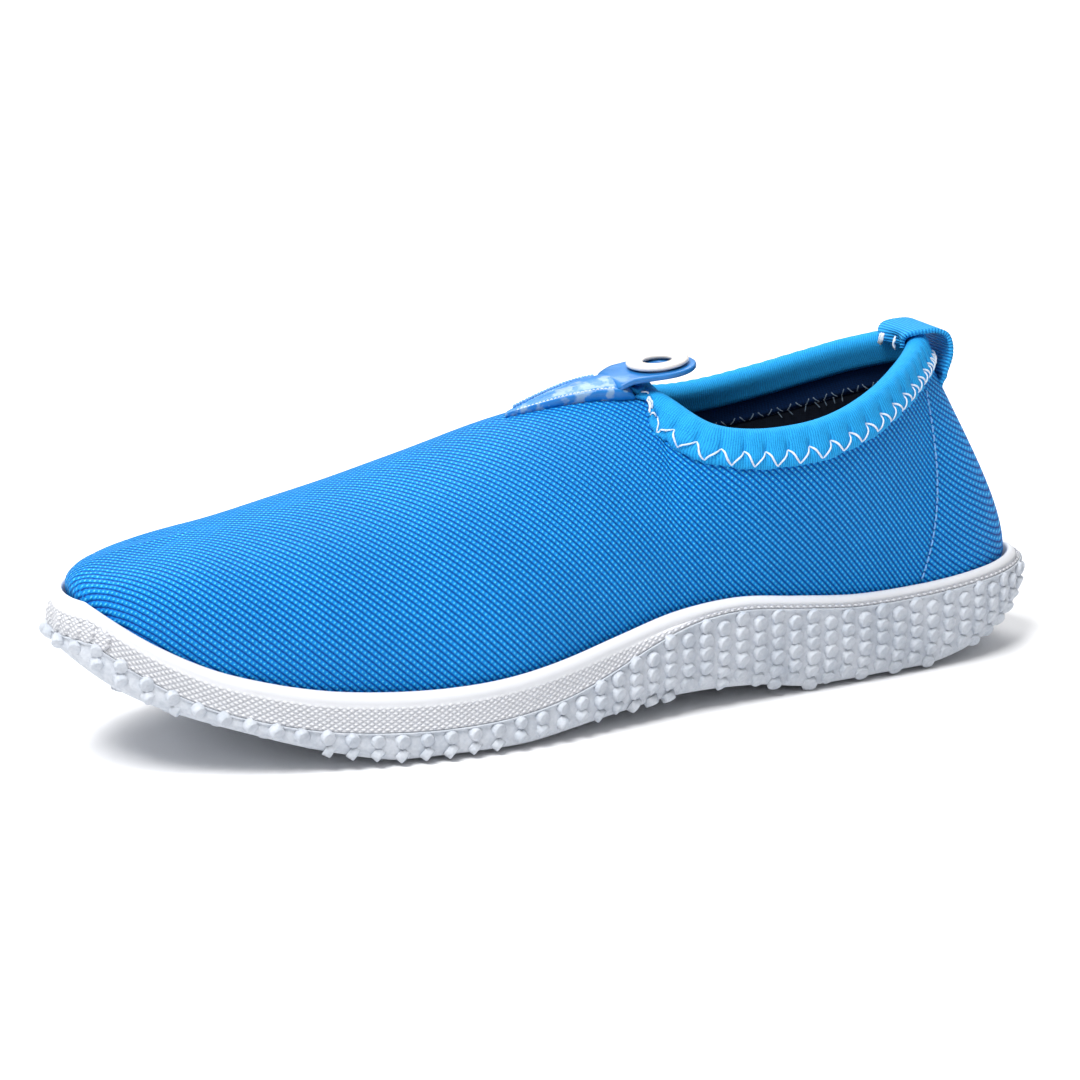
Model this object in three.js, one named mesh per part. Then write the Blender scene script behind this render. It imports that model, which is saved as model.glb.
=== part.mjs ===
// Low-cut slip-on water shoe, right foot. Millimetres, +Z up, toe towards -X, inner (medial) side at -Y.
// The whole shoe is laid out from one last: a closed outline for the sole and girth curves that rise
// from the sole rim to the instep line in front and to the collar edge behind.
import * as THREE from 'three';
import { ParametricGeometry } from 'three/addons/geometries/ParametricGeometry.js';
import { mergeVertices } from 'three/addons/utils/BufferGeometryUtils.js';

// ---- driving dimensions ------------------------------------------------------------------------
const HALF_LENGTH = 123.5;         // half the length of the sole at its widest level
const OUTLINE_CENTRE_X = -1.5;
const RIM_INSET = 7.5;            // from the sole outline in to the last at the sole rim
const RIM_EDGE_INSET = 5.2;       // from the sole outline in to the cloth at the sole rim
const CUP_INSET = 9.4;            // from the sole outline in to the insole board
const TUCK_INSET = 1.6;           // how far the upper leans in on its way down to the insole board
const TUCK_SHARE = 0.15;          // share of the girth curve that is used below the rim
const THROAT = 0.55;              // station where the instep line ends and the collar starts
const SEAM = 0.765;               // station of the seams between the vamp and the heel panel
const COLLAR_FRONT_X = 21;
const COLLAR_BACK_X = 91;
const GAP = 0.3;                  // clearance between pieces that touch

const ROWS = 12;                  // facets from the rim to the top
const FRONT_COLUMNS = 17;         // facets from the toe to the throat
const COLLAR_COLUMNS = 12;        // facets from the throat to each seam
const VAMP_COLUMNS = FRONT_COLUMNS + COLLAR_COLUMNS;
const HEEL_COLUMNS = 8;           // facets from each seam to the back of the heel
const ALL_COLUMNS = VAMP_COLUMNS + 1 + HEEL_COLUMNS;
const SEAM_HALF_GAP = 0.0015;     // in stations
const SEAM_LEAN = 0.03;           // how far back the seam's top end lies from its lower end, in stations
const SEAM_BOW = 0.012;           // and how far its middle is bowed backwards

const FABRIC = { inner: 0.3, outer: 1.5 };
const LINING = { inner: -1.0, outer: 0.0 };
const BINDING = { clearance: 0.7, thickness: 1.0, outerLeg: 6.2, innerLeg: 5, crown: 2.4 };
const THREAD_RADIUS = 0.35;
const OUTSOLE_FLOOR = 3.2;
const CUP_FLOOR = 2.0;
const BOARD_THICKNESS = 1.2;
const FOAM_THICKNESS = 3.8;
const SOCK_THICKNESS = 0.8;
const LOOP = {
  y: 3.5, width: 16, thickness: 1.2, outerTop: 66.4, outerLength: 8,
  fromAngle: 0.79, toAngle: 1.125, innerLength: 6.5 };
const TAB = { x: 25, z: 72.3, radius: 9, thickness: 1.3, hingeX: 13.6, halfWaist: 6.4, tilt: 6 };
const RING = { radius: 5.35, wire: 2.0, height: 1.4, bore: 3.3 };

// ---- finishes ----------------------------------------------------------------------------------
const finish = (color, roughness) => new THREE.MeshStandardMaterial({ color, roughness, metalness: 0 });
const rubber = () => finish('#dfe2e6', 0.6);
const mesh = () => finish('#1583dd', 0.85);
const knit = () => finish('#2596e6', 0.8);
const darkCloth = () => finish('#0b1626', 0.95);
const thread = () => finish('#f1f4f7', 0.6);
const webbing = () => finish('#2f9fe8', 0.7);
const badgePlastic = () => finish('#3a86d8', 0.35);

// ---- curves ------------------------------------------------------------------------------------
// A smooth function through [x, y] knots, constant past both ends.
function smoothThrough(knots) {
  const slope = knots.map((knot, i) => {
    const before = knots[Math.max(i - 1, 0)];
    const after = knots[Math.min(i + 1, knots.length - 1)];
    return (after[1] - before[1]) / (after[0] - before[0]);
  });
  return (x) => {
    const at = Math.min(Math.max(x, knots[0][0]), knots[knots.length - 1][0]);
    let i = 0;
    while (i < knots.length - 2 && at > knots[i + 1][0]) i += 1;
    const span = knots[i + 1][0] - knots[i][0];
    const t = (at - knots[i][0]) / span;
    const rise = t * t * (3 - 2 * t);
    return knots[i][1] * (1 - rise) + knots[i + 1][1] * rise
      + t * (1 - t) * (1 - t) * span * slope[i] - t * t * (1 - t) * span * slope[i + 1];
  };
}

// Sole: half widths by station (0 toe, 1 heel), centre line and heights by x.
const medialWidth = smoothThrough([
  [0, 54], [0.1, 49], [0.19, 45.5], [0.32, 45], [0.43, 44], [0.56, 34], [0.7, 33], [0.86, 38], [1, 34]]);
const lateralWidth = smoothThrough([
  [0, 52], [0.1, 47], [0.19, 43.5], [0.32, 43], [0.43, 42], [0.56, 38], [0.7, 36], [0.86, 37], [1, 34]]);
const centreY = smoothThrough([[-118, -9], [-80, -5], [-20, 0], [40, 1], [118, 2]]);
const rocker = smoothThrough([
  [-125, 27], [-110, 17], [-82, 7], [-66, 2.4], [-54, 0], [-40, -0.4], [-24, 0], [-4, 2],
  [18, 3.6], [38, 2.6], [53, 0], [68, -0.4], [85, 0], [98, 2.2], [113, 7.5], [123, 13]]);
const rimHeight = smoothThrough([
  [-118, 38], [-106, 30], [-94, 24], [-82, 20.3], [-69, 17.6], [-56, 16.2], [-42, 15.7], [-28, 16.2],
  [-14, 17.9], [2, 21], [18, 24], [34, 24.8], [50, 22.8], [66, 20.9], [84, 20.7], [102, 21.4], [117, 21.8]]);
const lipDepth = smoothThrough([
  [-122, 7.5], [-112, 8], [-90, 8.2], [-40, 8.2], [-10, 7.6], [10, 4.5], [26, 2.4], [60, 2.0], [118, 2.0]]);

// The underside is flat where the ball and the heel stand on the ground.
const bottomHeight = (x) => Math.max(0, rocker(x));

// Upper: instep line by x, collar edge by its own angle (0 throat, 1 back of the heel).
const instepX = smoothThrough([
  [0, -88], [0.1, -85], [0.2, -75], [0.3, -55], [0.4, -28], [0.5, 4], [THROAT, COLLAR_FRONT_X]]);
const instepHeight = smoothThrough([
  [-88, 46.8], [-78, 48.6], [-59, 52.6], [-39, 57.4], [-20, 62.6], [-5, 66], [8, 68.4], [21, 68.8]]);
const collarAngle = smoothThrough([
  [THROAT, 0], [0.6, 0.2], [0.66, 0.44], [0.72, 0.66], [0.77, 0.81], [0.85, 0.91], [1, 1]]);
const collarWidth = smoothThrough([
  [0, 29], [0.12, 31], [0.22, 30.5], [0.33, 27], [0.42, 25.5], [0.5, 24.8],
  [0.6, 23.2], [0.7, 21], [0.85, 17], [1, 15]]);
const collarHeight = smoothThrough([
  [0, 68.8], [0.1, 67.1], [0.22, 62.7], [0.33, 61.2], [0.45, 61.8], [0.55, 64],
  [0.65, 67.4], [0.75, 71], [0.88, 74.2], [1, 75.2]]);
const collarSlope = smoothThrough([
  [0, 0], [0.1, 20], [0.2156, 48], [0.33, 62], [0.5, 72], [0.7, 74], [0.85, 70], [1, 66]]);
const rimLean = smoothThrough([[0, 62], [0.12, 66], [0.3, 80], [0.45, 84], [0.6, 88], [0.8, 88], [1, 90]]);
const rimFullness = smoothThrough([[0, 0.62], [0.3, 0.55], [0.5, 0.5], [0.65, 0.42], [0.8, 0.3], [1, 0.22]]);
const topFullness = smoothThrough([
  [0, 0.62], [0.25, 0.6], [0.4, 0.48], [0.52, 0.4], [0.65, 0.36], [0.8, 0.34], [1, 0.34]]);

// A point of the sole outline, moved in by an inset. u runs -1..1: its size is the station from the toe
// to the heel, its sign the side, minus for medial.
function outline(u, inset) {
  const station = Math.abs(u);
  const side = u < 0 ? -1 : 1;
  const halfWidth = (side < 0 ? medialWidth(station) : lateralWidth(station)) - inset;
  const x = OUTLINE_CENTRE_X - (HALF_LENGTH - inset) * Math.cos(Math.PI * station);
  return new THREE.Vector3(x, centreY(x) + side * halfWidth * Math.sin(Math.PI * station), 0);
}

// The horizontal direction that faces away from the foot at a station.
function outward(u) {
  const step = 1e-3;
  const along = outline(u + step > 1 ? u + step - 2 : u + step, RIM_INSET)
    .sub(outline(u - step < -1 ? u - step + 2 : u - step, RIM_INSET));
  return new THREE.Vector3(-along.y, along.x, 0).normalize();
}

// Height of the insole board's upper face.
const boardTop = (x) => bottomHeight(x) + OUTSOLE_FLOOR + CUP_FLOOR + BOARD_THICKNESS + 2 * GAP;

function rimPoint(u) {
  const point = outline(u, RIM_INSET);
  return point.setZ(rimHeight(point.x));
}

// The edge of the collar by its own angle, -1..1 (0 throat, sign = side).
function collarPoint(angle) {
  const swing = Math.abs(angle);
  const reach = (COLLAR_BACK_X - COLLAR_FRONT_X) / 2;
  const x = COLLAR_FRONT_X + reach * (1 - Math.cos(Math.PI * swing));
  const half = collarWidth(swing) * Math.sin(Math.PI * swing);
  return new THREE.Vector3(x, centreY(x) + (angle < 0 ? -half : half), collarHeight(swing));
}

function topPoint(u) {
  const station = Math.abs(u);
  if (station > THROAT) return collarPoint(Math.sign(u) * collarAngle(station));
  const x = instepX(station);
  return new THREE.Vector3(x, centreY(x), instepHeight(x));
}

// The seams lean and bow backwards, and the girth curves beside them go along with them.
function bowed(u, s) {
  if (s <= 0) return u;
  const station = Math.abs(u);
  const share = station < SEAM ? (station - THROAT) / (SEAM - THROAT) : (1 - station) / (1 - SEAM);
  return u + Math.sign(u) * Math.max(share, 0) * (SEAM_LEAN * s + 4 * SEAM_BOW * s * (1 - s));
}

// A point of the last's surface: u picks the girth curve, s runs from the rim (0) to the top (1).
// Below 0 the curve goes down inside the sole rim to the insole board.
function upperPoint(along, s) {
  const u = bowed(along, s);
  const station = Math.abs(u);
  const rim = rimPoint(u);
  const top = topPoint(u);
  const out = outward(u);
  const height = top.z - rim.z;
  const width = Math.hypot(top.x - rim.x, top.y - rim.y);
  const lean = THREE.MathUtils.degToRad(rimLean(station));
  const rise = new THREE.Vector3(out.x * Math.cos(lean), out.y * Math.cos(lean), Math.sin(lean));
  if (s < 0) {
    const depth = s / -TUCK_SHARE;
    const low = boardTop(rim.x) + GAP - rim.z;
    return outline(u, RIM_INSET + depth * TUCK_INSET).setZ(rim.z + depth * low);
  }
  const slope = THREE.MathUtils.degToRad(collarSlope(collarAngle(Math.max(station, THROAT))));
  const ahead = (instepHeight(top.x + 1) - instepHeight(top.x - 1)) / 2;
  const fall = out.clone().multiplyScalar(Math.cos(slope));
  fall.z = ahead * out.x * Math.cos(slope) - Math.sin(slope);
  const reach = topFullness(station) * (Math.cos(slope) * width + Math.sin(slope) * height);
  const girth = new THREE.CubicBezierCurve3(
    rim,
    rim.clone().addScaledVector(rise, rimFullness(station) * height),
    top.clone().addScaledVector(fall, reach),
    top);
  return girth.getPoint(s);
}

const INSIDE = new THREE.Vector3(OUTLINE_CENTRE_X, 0, 25);   // a point in the middle of the foot's room

// ---- building blocks ---------------------------------------------------------------------------
function bareGeometry(positions, faces) {
  const geometry = new THREE.BufferGeometry();
  geometry.setAttribute('position', new THREE.Float32BufferAttribute(positions, 3));
  geometry.setIndex(faces);
  return geometry;
}

function weld(geometry) {
  geometry.deleteAttribute('normal');
  geometry.deleteAttribute('uv');
  return mergeVertices(geometry, 1e-3);
}

// Drops triangles that welding has closed up, and turns the rest so that the body's volume is positive.
function closedBody(geometry) {
  const body = weld(geometry);
  const place = body.attributes.position;
  const corner = [new THREE.Vector3(), new THREE.Vector3(), new THREE.Vector3()];
  const faces = [];
  let volume = 0;
  for (let i = 0; i < body.index.count; i += 3) {
    const [a, b, c] = [0, 1, 2].map((k) => body.index.getX(i + k));
    if (a === b || b === c || c === a) continue;
    faces.push([a, b, c]);
    [a, b, c].forEach((vertex, k) => corner[k].fromBufferAttribute(place, vertex));
    volume += corner[0].dot(corner[1].cross(corner[2]));
  }
  const turned = volume < 0 ? faces.map(([a, b, c]) => [a, c, b]) : faces;
  return bareGeometry(Array.from(place.array), turned.flat());
}

// Turns an open sheet's faces so that they look away from a point behind it.
function facingAwayFrom(sheet, behind) {
  const index = sheet.index;
  const corner = new THREE.Triangle();
  const normal = new THREE.Vector3();
  let facing = 0;
  for (let i = 0; i < index.count; i += 3) {
    const [a, b, c] = [0, 1, 2].map((k) => index.getX(i + k));
    corner.setFromAttributeAndIndices(sheet.attributes.position, a, b, c);
    corner.getNormal(normal);
    facing += Math.sign(normal.dot(corner.a.clone().sub(behind)));
  }
  if (facing < 0) {
    const turned = [];
    for (let i = 0; i < index.count; i += 3) turned.push(index.getX(i), index.getX(i + 2), index.getX(i + 1));
    sheet.setIndex(turned);
  }
  sheet.computeVertexNormals();
  return sheet;
}

// Columns of the last: 0 is the toe, VAMP_COLUMNS each way reach the seams, and the rest go on round
// the heel to its back. They stand closer along the collar, and those beside a seam keep the panels apart.
function columnStation(column) {
  const side = Math.sign(column);
  const step = Math.abs(column);
  if (step <= FRONT_COLUMNS) return side * THROAT * step / FRONT_COLUMNS;
  if (step <= VAMP_COLUMNS) {
    return side * THREE.MathUtils.lerp(THROAT, SEAM - SEAM_HALF_GAP, (step - FRONT_COLUMNS) / COLLAR_COLUMNS);
  }
  const start = SEAM + SEAM_HALF_GAP;
  const share = (step - VAMP_COLUMNS - 1) / HEEL_COLUMNS;
  if (share > 1) return -side * THREE.MathUtils.lerp(1, start, share - 1);
  return side * THREE.MathUtils.lerp(start, 1, share);
}

// An open sheet on the last, one welded surface facing outwards, between two of the last's columns.
// All layers share the columns and rows, so that their facets stay parallel.
function lastSheet(fromColumn, toColumn) {
  const columns = toColumn - fromColumn;
  const point = (a, b, target) => {
    const column = fromColumn + a * columns;
    target.copy(upperPoint(columnStation(column), THREE.MathUtils.lerp(-TUCK_SHARE, 1, b)));
  };
  const sheet = weld(new ParametricGeometry(point, columns, ROWS));
  return facingAwayFrom(sheet, INSIDE);
}

// A sheet given a thickness between two offsets along its normals, with walls round its open edges.
// The outer offset is a number, or a function of x.
function thicken(sheet, inner, outer) {
  const place = sheet.attributes.position;
  const normal = sheet.attributes.normal;
  const count = place.count;
  const positions = [];
  for (const level of [outer, inner]) {
    for (let i = 0; i < count; i += 1) {
      const offset = typeof level === 'function' ? level(place.getX(i)) : level;
      positions.push(
        place.getX(i) + offset * normal.getX(i),
        place.getY(i) + offset * normal.getY(i),
        place.getZ(i) + offset * normal.getZ(i));
    }
  }
  const faces = [];
  const edges = new Map();
  for (let i = 0; i < sheet.index.count; i += 3) {
    const [a, b, c] = [0, 1, 2].map((k) => sheet.index.getX(i + k));
    if (a === b || b === c || c === a) continue;
    faces.push(a, b, c, a + count, c + count, b + count);
    for (const [from, to] of [[a, b], [b, c], [c, a]]) edges.set(`${from},${to}`, [from, to]);
  }
  for (const [from, to] of edges.values()) {
    if (!edges.has(`${to},${from}`)) faces.push(to, from, from + count, to, from + count, to + count);
  }
  return bareGeometry(positions, faces);
}

// Rings of points joined one after the other. Without caps the last ring joins the first again; with
// caps the two ends are closed by a ladder across the ring, from each point to its mirror point.
function ringBody(rings, capped) {
  const count = rings[0].length;
  const positions = rings.flat().flatMap((point) => point.toArray());
  const faces = [];
  const last = capped ? rings.length - 1 : rings.length;
  for (let r = 0; r < last; r += 1) {
    for (let i = 0; i < count; i += 1) {
      const a = r * count + i;
      const b = r * count + (i + 1) % count;
      const c = ((r + 1) % rings.length) * count + (i + 1) % count;
      const d = ((r + 1) % rings.length) * count + i;
      faces.push(a, b, c, a, c, d);
    }
  }
  if (capped) {
    for (const [start, flip] of [[0, true], [(rings.length - 1) * count, false]]) {
      for (let i = 0; i < count / 2; i += 1) {
        const quad = [i, i + 1, (count - i - 1) % count, (count - i) % count].map((k) => start + k);
        const [a, b, c, d] = flip ? quad.reverse() : quad;
        faces.push(a, b, c, a, c, d);
      }
    }
  }
  return closedBody(bareGeometry(positions, faces));
}

// A ring round the sole: count points, each at its own inset and height.
function soleRing(count, inset, height) {
  return Array.from({ length: count }, (_, i) => {
    const point = outline(-1 + 2 * i / count, inset);
    return point.setZ(height(point.x));
  });
}

// ---- the last as a surface that other pieces lie on ---------------------------------------------
const wholeUpper = lastSheet(-ALL_COLUMNS, ALL_COLUMNS);

// The nearest point of the upper, lifted by an offset along the surface's own normal.
function onUpper(from, offset) {
  const place = wholeUpper.attributes.position;
  const normals = wholeUpper.attributes.normal;
  const triangle = new THREE.Triangle();
  const near = new THREE.Vector3();
  const corner = new THREE.Vector3();
  const weights = new THREE.Vector3();
  const best = { distance: Infinity, point: new THREE.Vector3(), normal: new THREE.Vector3() };
  for (let i = 0; i < wholeUpper.index.count; i += 3) {
    const [a, b, c] = [0, 1, 2].map((k) => wholeUpper.index.getX(i + k));
    triangle.setFromAttributeAndIndices(place, a, b, c);
    if (triangle.getArea() < 1e-6) continue;
    triangle.closestPointToPoint(from, near);
    const distance = near.distanceTo(from);
    if (distance >= best.distance) continue;
    triangle.getBarycoord(near, weights);
    best.distance = distance;
    best.point.copy(near);
    best.normal.set(0, 0, 0);
    [a, b, c].forEach((vertex, k) => {
      corner.fromBufferAttribute(normals, vertex);
      best.normal.addScaledVector(corner, weights.getComponent(k));
    });
    best.normal.normalize();
  }
  return best.point.clone().addScaledVector(best.normal, offset);
}

// The frame at a place on the collar edge: away from the shoe, and away from the mouth along the cloth.
function collarFrame(angle) {
  const step = 0.004;
  const wrap = (value) => (value > 1 ? value - 2 : value < -1 ? value + 2 : value);
  const edge = collarPoint(angle);
  const along = collarPoint(wrap(angle + step)).sub(collarPoint(wrap(angle - step))).normalize();
  const face = onUpper(edge, 1).sub(onUpper(edge, 0));
  const away = new THREE.Vector3().crossVectors(along, face).normalize();
  const mouth = new THREE.Vector3((COLLAR_FRONT_X + COLLAR_BACK_X) / 2, edge.y * 0.3, edge.z + 20);
  if (away.dot(mouth.sub(edge)) > 0) away.negate();
  return { edge, away, face: new THREE.Vector3().crossVectors(away, along).normalize(), along };
}

// A point near the collar: depth down the cloth from the edge, offset away from the last.
function collarSpot(frame, depth, offset) {
  if (depth > 0.01) return onUpper(frame.edge.clone().addScaledVector(frame.away, depth), offset);
  const face = frame.face.dot(onUpper(frame.edge, 1).sub(frame.edge)) < 0 ? -1 : 1;
  return frame.edge.clone().addScaledVector(frame.away, depth).addScaledVector(frame.face, face * offset);
}

// ---- sole --------------------------------------------------------------------------------------
const SOLE_POINTS = 88;

// Height of the lip, the top edge of the outsole's wrap.
const lipHeight = (x) => rimHeight(x) - lipDepth(x);

function outsole() {
  const floor = (x) => bottomHeight(x) + OUTSOLE_FLOOR;
  const wall = (share) => (x) => bottomHeight(x) + 0.6 + share * (lipHeight(x) - bottomHeight(x) - 0.6);
  return ringBody([
    soleRing(SOLE_POINTS, 4.5, bottomHeight),
    soleRing(SOLE_POINTS, 1.6, wall(0)),
    soleRing(SOLE_POINTS, 0, wall(0.35)),
    soleRing(SOLE_POINTS, 0.3, wall(0.75)),
    soleRing(SOLE_POINTS, 1.2, lipHeight),
    soleRing(SOLE_POINTS, 3.0, lipHeight),
    soleRing(SOLE_POINTS, 3.4, (x) => Math.min(floor(x), lipHeight(x) - 0.4)),
  ], true);
}

function soleCup() {
  const floor = (x) => bottomHeight(x) + OUTSOLE_FLOOR + GAP;
  const lip = (x) => lipHeight(x) + GAP;
  return ringBody([
    soleRing(SOLE_POINTS, 4.6, (x) => Math.min(floor(x), lipHeight(x) - 0.1)),
    soleRing(SOLE_POINTS, 3.3, lip),
    soleRing(SOLE_POINTS, 1.7, lip),
    soleRing(SOLE_POINTS, 2.6, (x) => rimHeight(x) - 1.9),
    soleRing(SOLE_POINTS, 3.2, (x) => rimHeight(x) - 0.2),
    soleRing(SOLE_POINTS, 4.4, (x) => rimHeight(x) + 0.5),
    soleRing(SOLE_POINTS, RIM_EDGE_INSET - GAP, rimHeight),
    soleRing(SOLE_POINTS, RIM_EDGE_INSET + 0.5, (x) => Math.min(rimHeight(x) - 6, floor(x) + 6)),
    soleRing(SOLE_POINTS, RIM_EDGE_INSET + 1.6, (x) => floor(x) + CUP_FLOOR),
  ], true);
}

// A flat layer inside the sole cup: its underside lies this far above the outsole's underside.
function insoleLayer(above, thickness, inset) {
  const under = (x) => bottomHeight(x) + above;
  const over = (x) => bottomHeight(x) + above + thickness;
  const count = 64;
  return ringBody([
    soleRing(count, inset + 0.8, under),
    soleRing(count, inset, (x) => under(x) + 0.3 * thickness),
    soleRing(count, inset, (x) => under(x) + 0.7 * thickness),
    soleRing(count, inset + 0.8, over),
  ], true);
}

// ---- upper -------------------------------------------------------------------------------------
function vamp() {
  return thicken(lastSheet(-VAMP_COLUMNS, VAMP_COLUMNS), FABRIC.inner, FABRIC.outer);
}

function heelPanel() {
  return thicken(lastSheet(VAMP_COLUMNS + 1, VAMP_COLUMNS + 1 + 2 * HEEL_COLUMNS), FABRIC.inner, FABRIC.outer);
}

function lining() {
  return thicken(wholeUpper, LINING.inner, LINING.outer);
}

// The knit binding: a folded strip that holds the collar edge between two legs.
function collarBinding() {
  const count = 76;
  const outside = FABRIC.outer + BINDING.clearance;
  const inside = LINING.inner - 1.9 * BINDING.clearance;
  const { thickness, outerLeg, innerLeg, crown } = BINDING;
  const rings = Array.from({ length: count }, (_, i) => {
    const frame = collarFrame(-1 + 2 * i / count);
    const section = [
      [outerLeg, outside + thickness], [outerLeg / 2, outside + thickness], [1, outside + thickness],
      [-crown * 0.6, outside + 0.4 * thickness], [-crown, 0.25], [-crown * 0.6, inside - 0.4 * thickness],
      [1, inside - thickness], [innerLeg / 2, inside - thickness], [innerLeg, inside - thickness],
      [innerLeg, inside], [1, inside], [-0.9, inside * 0.6], [-0.9, outside * 0.6], [1, outside],
      [outerLeg / 2, outside], [outerLeg, outside]];
    return section.map(([depth, offset]) => collarSpot(frame, depth, offset));
  });
  return ringBody(rings, false);
}

// ---- threads -----------------------------------------------------------------------------------
function threadAlong(points) {
  const path = new THREE.CatmullRomCurve3(points, false, 'centripetal');
  const section = new THREE.Shape();
  section.absarc(0, 0, THREAD_RADIUS, 0, 2 * Math.PI);
  const steps = points.length - 1;
  return closedBody(new THREE.ExtrudeGeometry(section, { steps, extrudePath: path, curveSegments: 2 }));
}

// The zigzag that holds the binding down. It starts and ends beside the tab and goes round the heel.
function collarZigzag() {
  const bites = 70;
  const start = 0.108;
  const lift = FABRIC.outer + BINDING.clearance + BINDING.thickness + 1.7 * GAP + THREAD_RADIUS;
  return threadAlong(Array.from({ length: bites + 1 }, (_, i) => {
    const angle = THREE.MathUtils.lerp(start, 2 - start, i / bites);
    const frame = collarFrame(angle > 1 ? angle - 2 : angle);
    return collarSpot(frame, i % 2 ? 2.8 : 5.8, lift);
  }));
}

// Close-set stitches that lock the binding beside the tab.
function throatTack(side) {
  const lift = FABRIC.outer + BINDING.clearance + BINDING.thickness + 1.7 * GAP + THREAD_RADIUS;
  return threadAlong(Array.from({ length: 4 }, (_, i) => {
    const frame = collarFrame(side * THREE.MathUtils.lerp(0.05, 0.09, i / 3));
    return collarSpot(frame, i % 2 ? 3.4 : 5.6, lift);
  }));
}

function heelSeamThread(side) {
  const lift = FABRIC.outer + GAP + THREAD_RADIUS;
  const start = upperPoint(side * SEAM, 0.06);
  const end = upperPoint(side * SEAM, 0.8);
  return threadAlong(Array.from({ length: 9 }, (_, i) => {
    const s = THREE.MathUtils.lerp(0.06, 0.8, i / 8);
    return onUpper(i === 0 ? start : i === 8 ? end : upperPoint(side * SEAM, s), lift);
  }));
}

// ---- badge, tab and ring -----------------------------------------------------------------------
const BADGE = { apexX: -13, baseX: 12.6, halfBase: 6.8, thin: 1.0, thick: 3.0 };

// The badge gets thicker towards its base, where the tab leaves it.
const badgeThickness = (x) => THREE.MathUtils.mapLinear(x, BADGE.apexX, BADGE.baseX, BADGE.thin, BADGE.thick);

// A patch over the instep: count points across, widening from the apex to the base.
function badgeSpot(along, across, offset) {
  const x = THREE.MathUtils.lerp(BADGE.apexX, BADGE.baseX, along);
  const half = BADGE.halfBase * (0.06 + 0.94 * along);
  const from = new THREE.Vector3(x, centreY(x) + across * half, instepHeight(x) + 1);
  return onUpper(from, offset);
}

function badge() {
  const lift = FABRIC.outer + GAP;
  const patch = weld(new ParametricGeometry((a, b, target) => {
    target.copy(badgeSpot(a, 2 * b - 1, lift));
  }, 8, 6));
  return thicken(facingAwayFrom(patch, INSIDE), 0, badgeThickness);
}

function badgeThread(side) {
  return threadAlong(Array.from({ length: 12 }, (_, i) => {
    const along = 0.06 + 0.86 * i / 11;
    const x = THREE.MathUtils.lerp(BADGE.apexX, BADGE.baseX, along);
    const lift = FABRIC.outer + 2.4 * GAP + badgeThickness(x) + THREAD_RADIUS;
    return badgeSpot(along, side * (0.76 + 0.06 * (i % 2)), lift);
  }));
}

// The tab stands up a little from its living hinge towards the free end.
function tilted(geometry) {
  geometry.translate(-TAB.hingeX, 0, -TAB.z);
  geometry.rotateY(-THREE.MathUtils.degToRad(TAB.tilt));
  return geometry.translate(TAB.hingeX, 0, TAB.z);
}

// The free end of the tab: a waist at the living hinge that widens into a round end with a bore.
function pullTab() {
  const { x, radius, thickness, hingeX, halfWaist, z } = TAB;
  const middle = centreY(x);
  const shape = new THREE.Shape();
  shape.moveTo(hingeX, middle - halfWaist);
  shape.lineTo(x - 4, middle - radius * Math.cos(Math.asin(4 / radius)));
  shape.absarc(x, middle, radius, -Math.PI + Math.acos(4 / radius), Math.PI - Math.acos(4 / radius), false);
  shape.lineTo(hingeX, middle + halfWaist);
  shape.closePath();
  const bore = new THREE.Path();
  bore.absarc(x, middle, RING.bore, 0, 2 * Math.PI, true);
  shape.holes.push(bore);
  const plate = new THREE.ExtrudeGeometry(shape, { depth: thickness, bevelEnabled: false, curveSegments: 10 });
  plate.translate(0, 0, z);
  return closedBody(tilted(plate));
}

function tabRing() {
  const half = RING.wire;
  const profile = [
    [-half, 0], [half, 0], [half * 0.95, 0.9], [half * 0.45, RING.height],
    [-half * 0.45, RING.height], [-half * 0.95, 0.9], [-half, 0]];
  const points = profile.map(([reach, height]) => new THREE.Vector2(RING.radius + reach, height));
  const ring = new THREE.LatheGeometry(points, 20);
  ring.rotateX(Math.PI / 2);
  ring.translate(TAB.x, centreY(TAB.x), TAB.z + TAB.thickness + GAP);
  return closedBody(tilted(ring));
}

// ---- heel loop ---------------------------------------------------------------------------------
// A strip of webbing along a path in the XZ plane, given as [x, z] points.
function strip(points, width, thickness, steps) {
  const line = points.map(([x, z]) => new THREE.Vector3(x, LOOP.y, z));
  const path = new THREE.CatmullRomCurve3(line, false, 'centripetal');
  const side = new THREE.Vector3(0, width / 2, 0);
  const rings = Array.from({ length: steps + 1 }, (_, i) => {
    const place = path.getPoint(i / steps);
    const along = path.getTangent(i / steps);
    const up = new THREE.Vector3(-along.z, 0, along.x).multiplyScalar(thickness / 2);
    return [
      place.clone().add(up).sub(side), place.clone().add(up).add(side),
      place.clone().sub(up).add(side), place.clone().sub(up).sub(side)];
  });
  const positions = rings.flat().flatMap((point) => point.toArray());
  const faces = [0, 1, 2, 0, 2, 3];
  const end = 4 * steps;
  faces.push(end, end + 2, end + 1, end, end + 3, end + 2);
  for (let r = 0; r < steps; r += 1) {
    for (let i = 0; i < 4; i += 1) {
      const [a, b] = [4 * r + i, 4 * r + (i + 1) % 4];
      faces.push(a, b + 4, b, a, a + 4, b + 4);
    }
  }
  return closedBody(bareGeometry(positions, faces));
}

// The free arch: up from the inside of the collar, over its top and down behind the heel.
function heelLoop() {
  const back = COLLAR_BACK_X;
  return strip([
    [back - 5.3, 77.2], [back - 3.6, 78.8], [back + 0.3, 79.7], [back + 4.6, 79.7], [back + 7.9, 78.5],
    [back + 9.1, 75], [back + 9, 71], [back + 8.5, 67.4]], LOOP.width, LOOP.thickness, 14);
}

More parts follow.
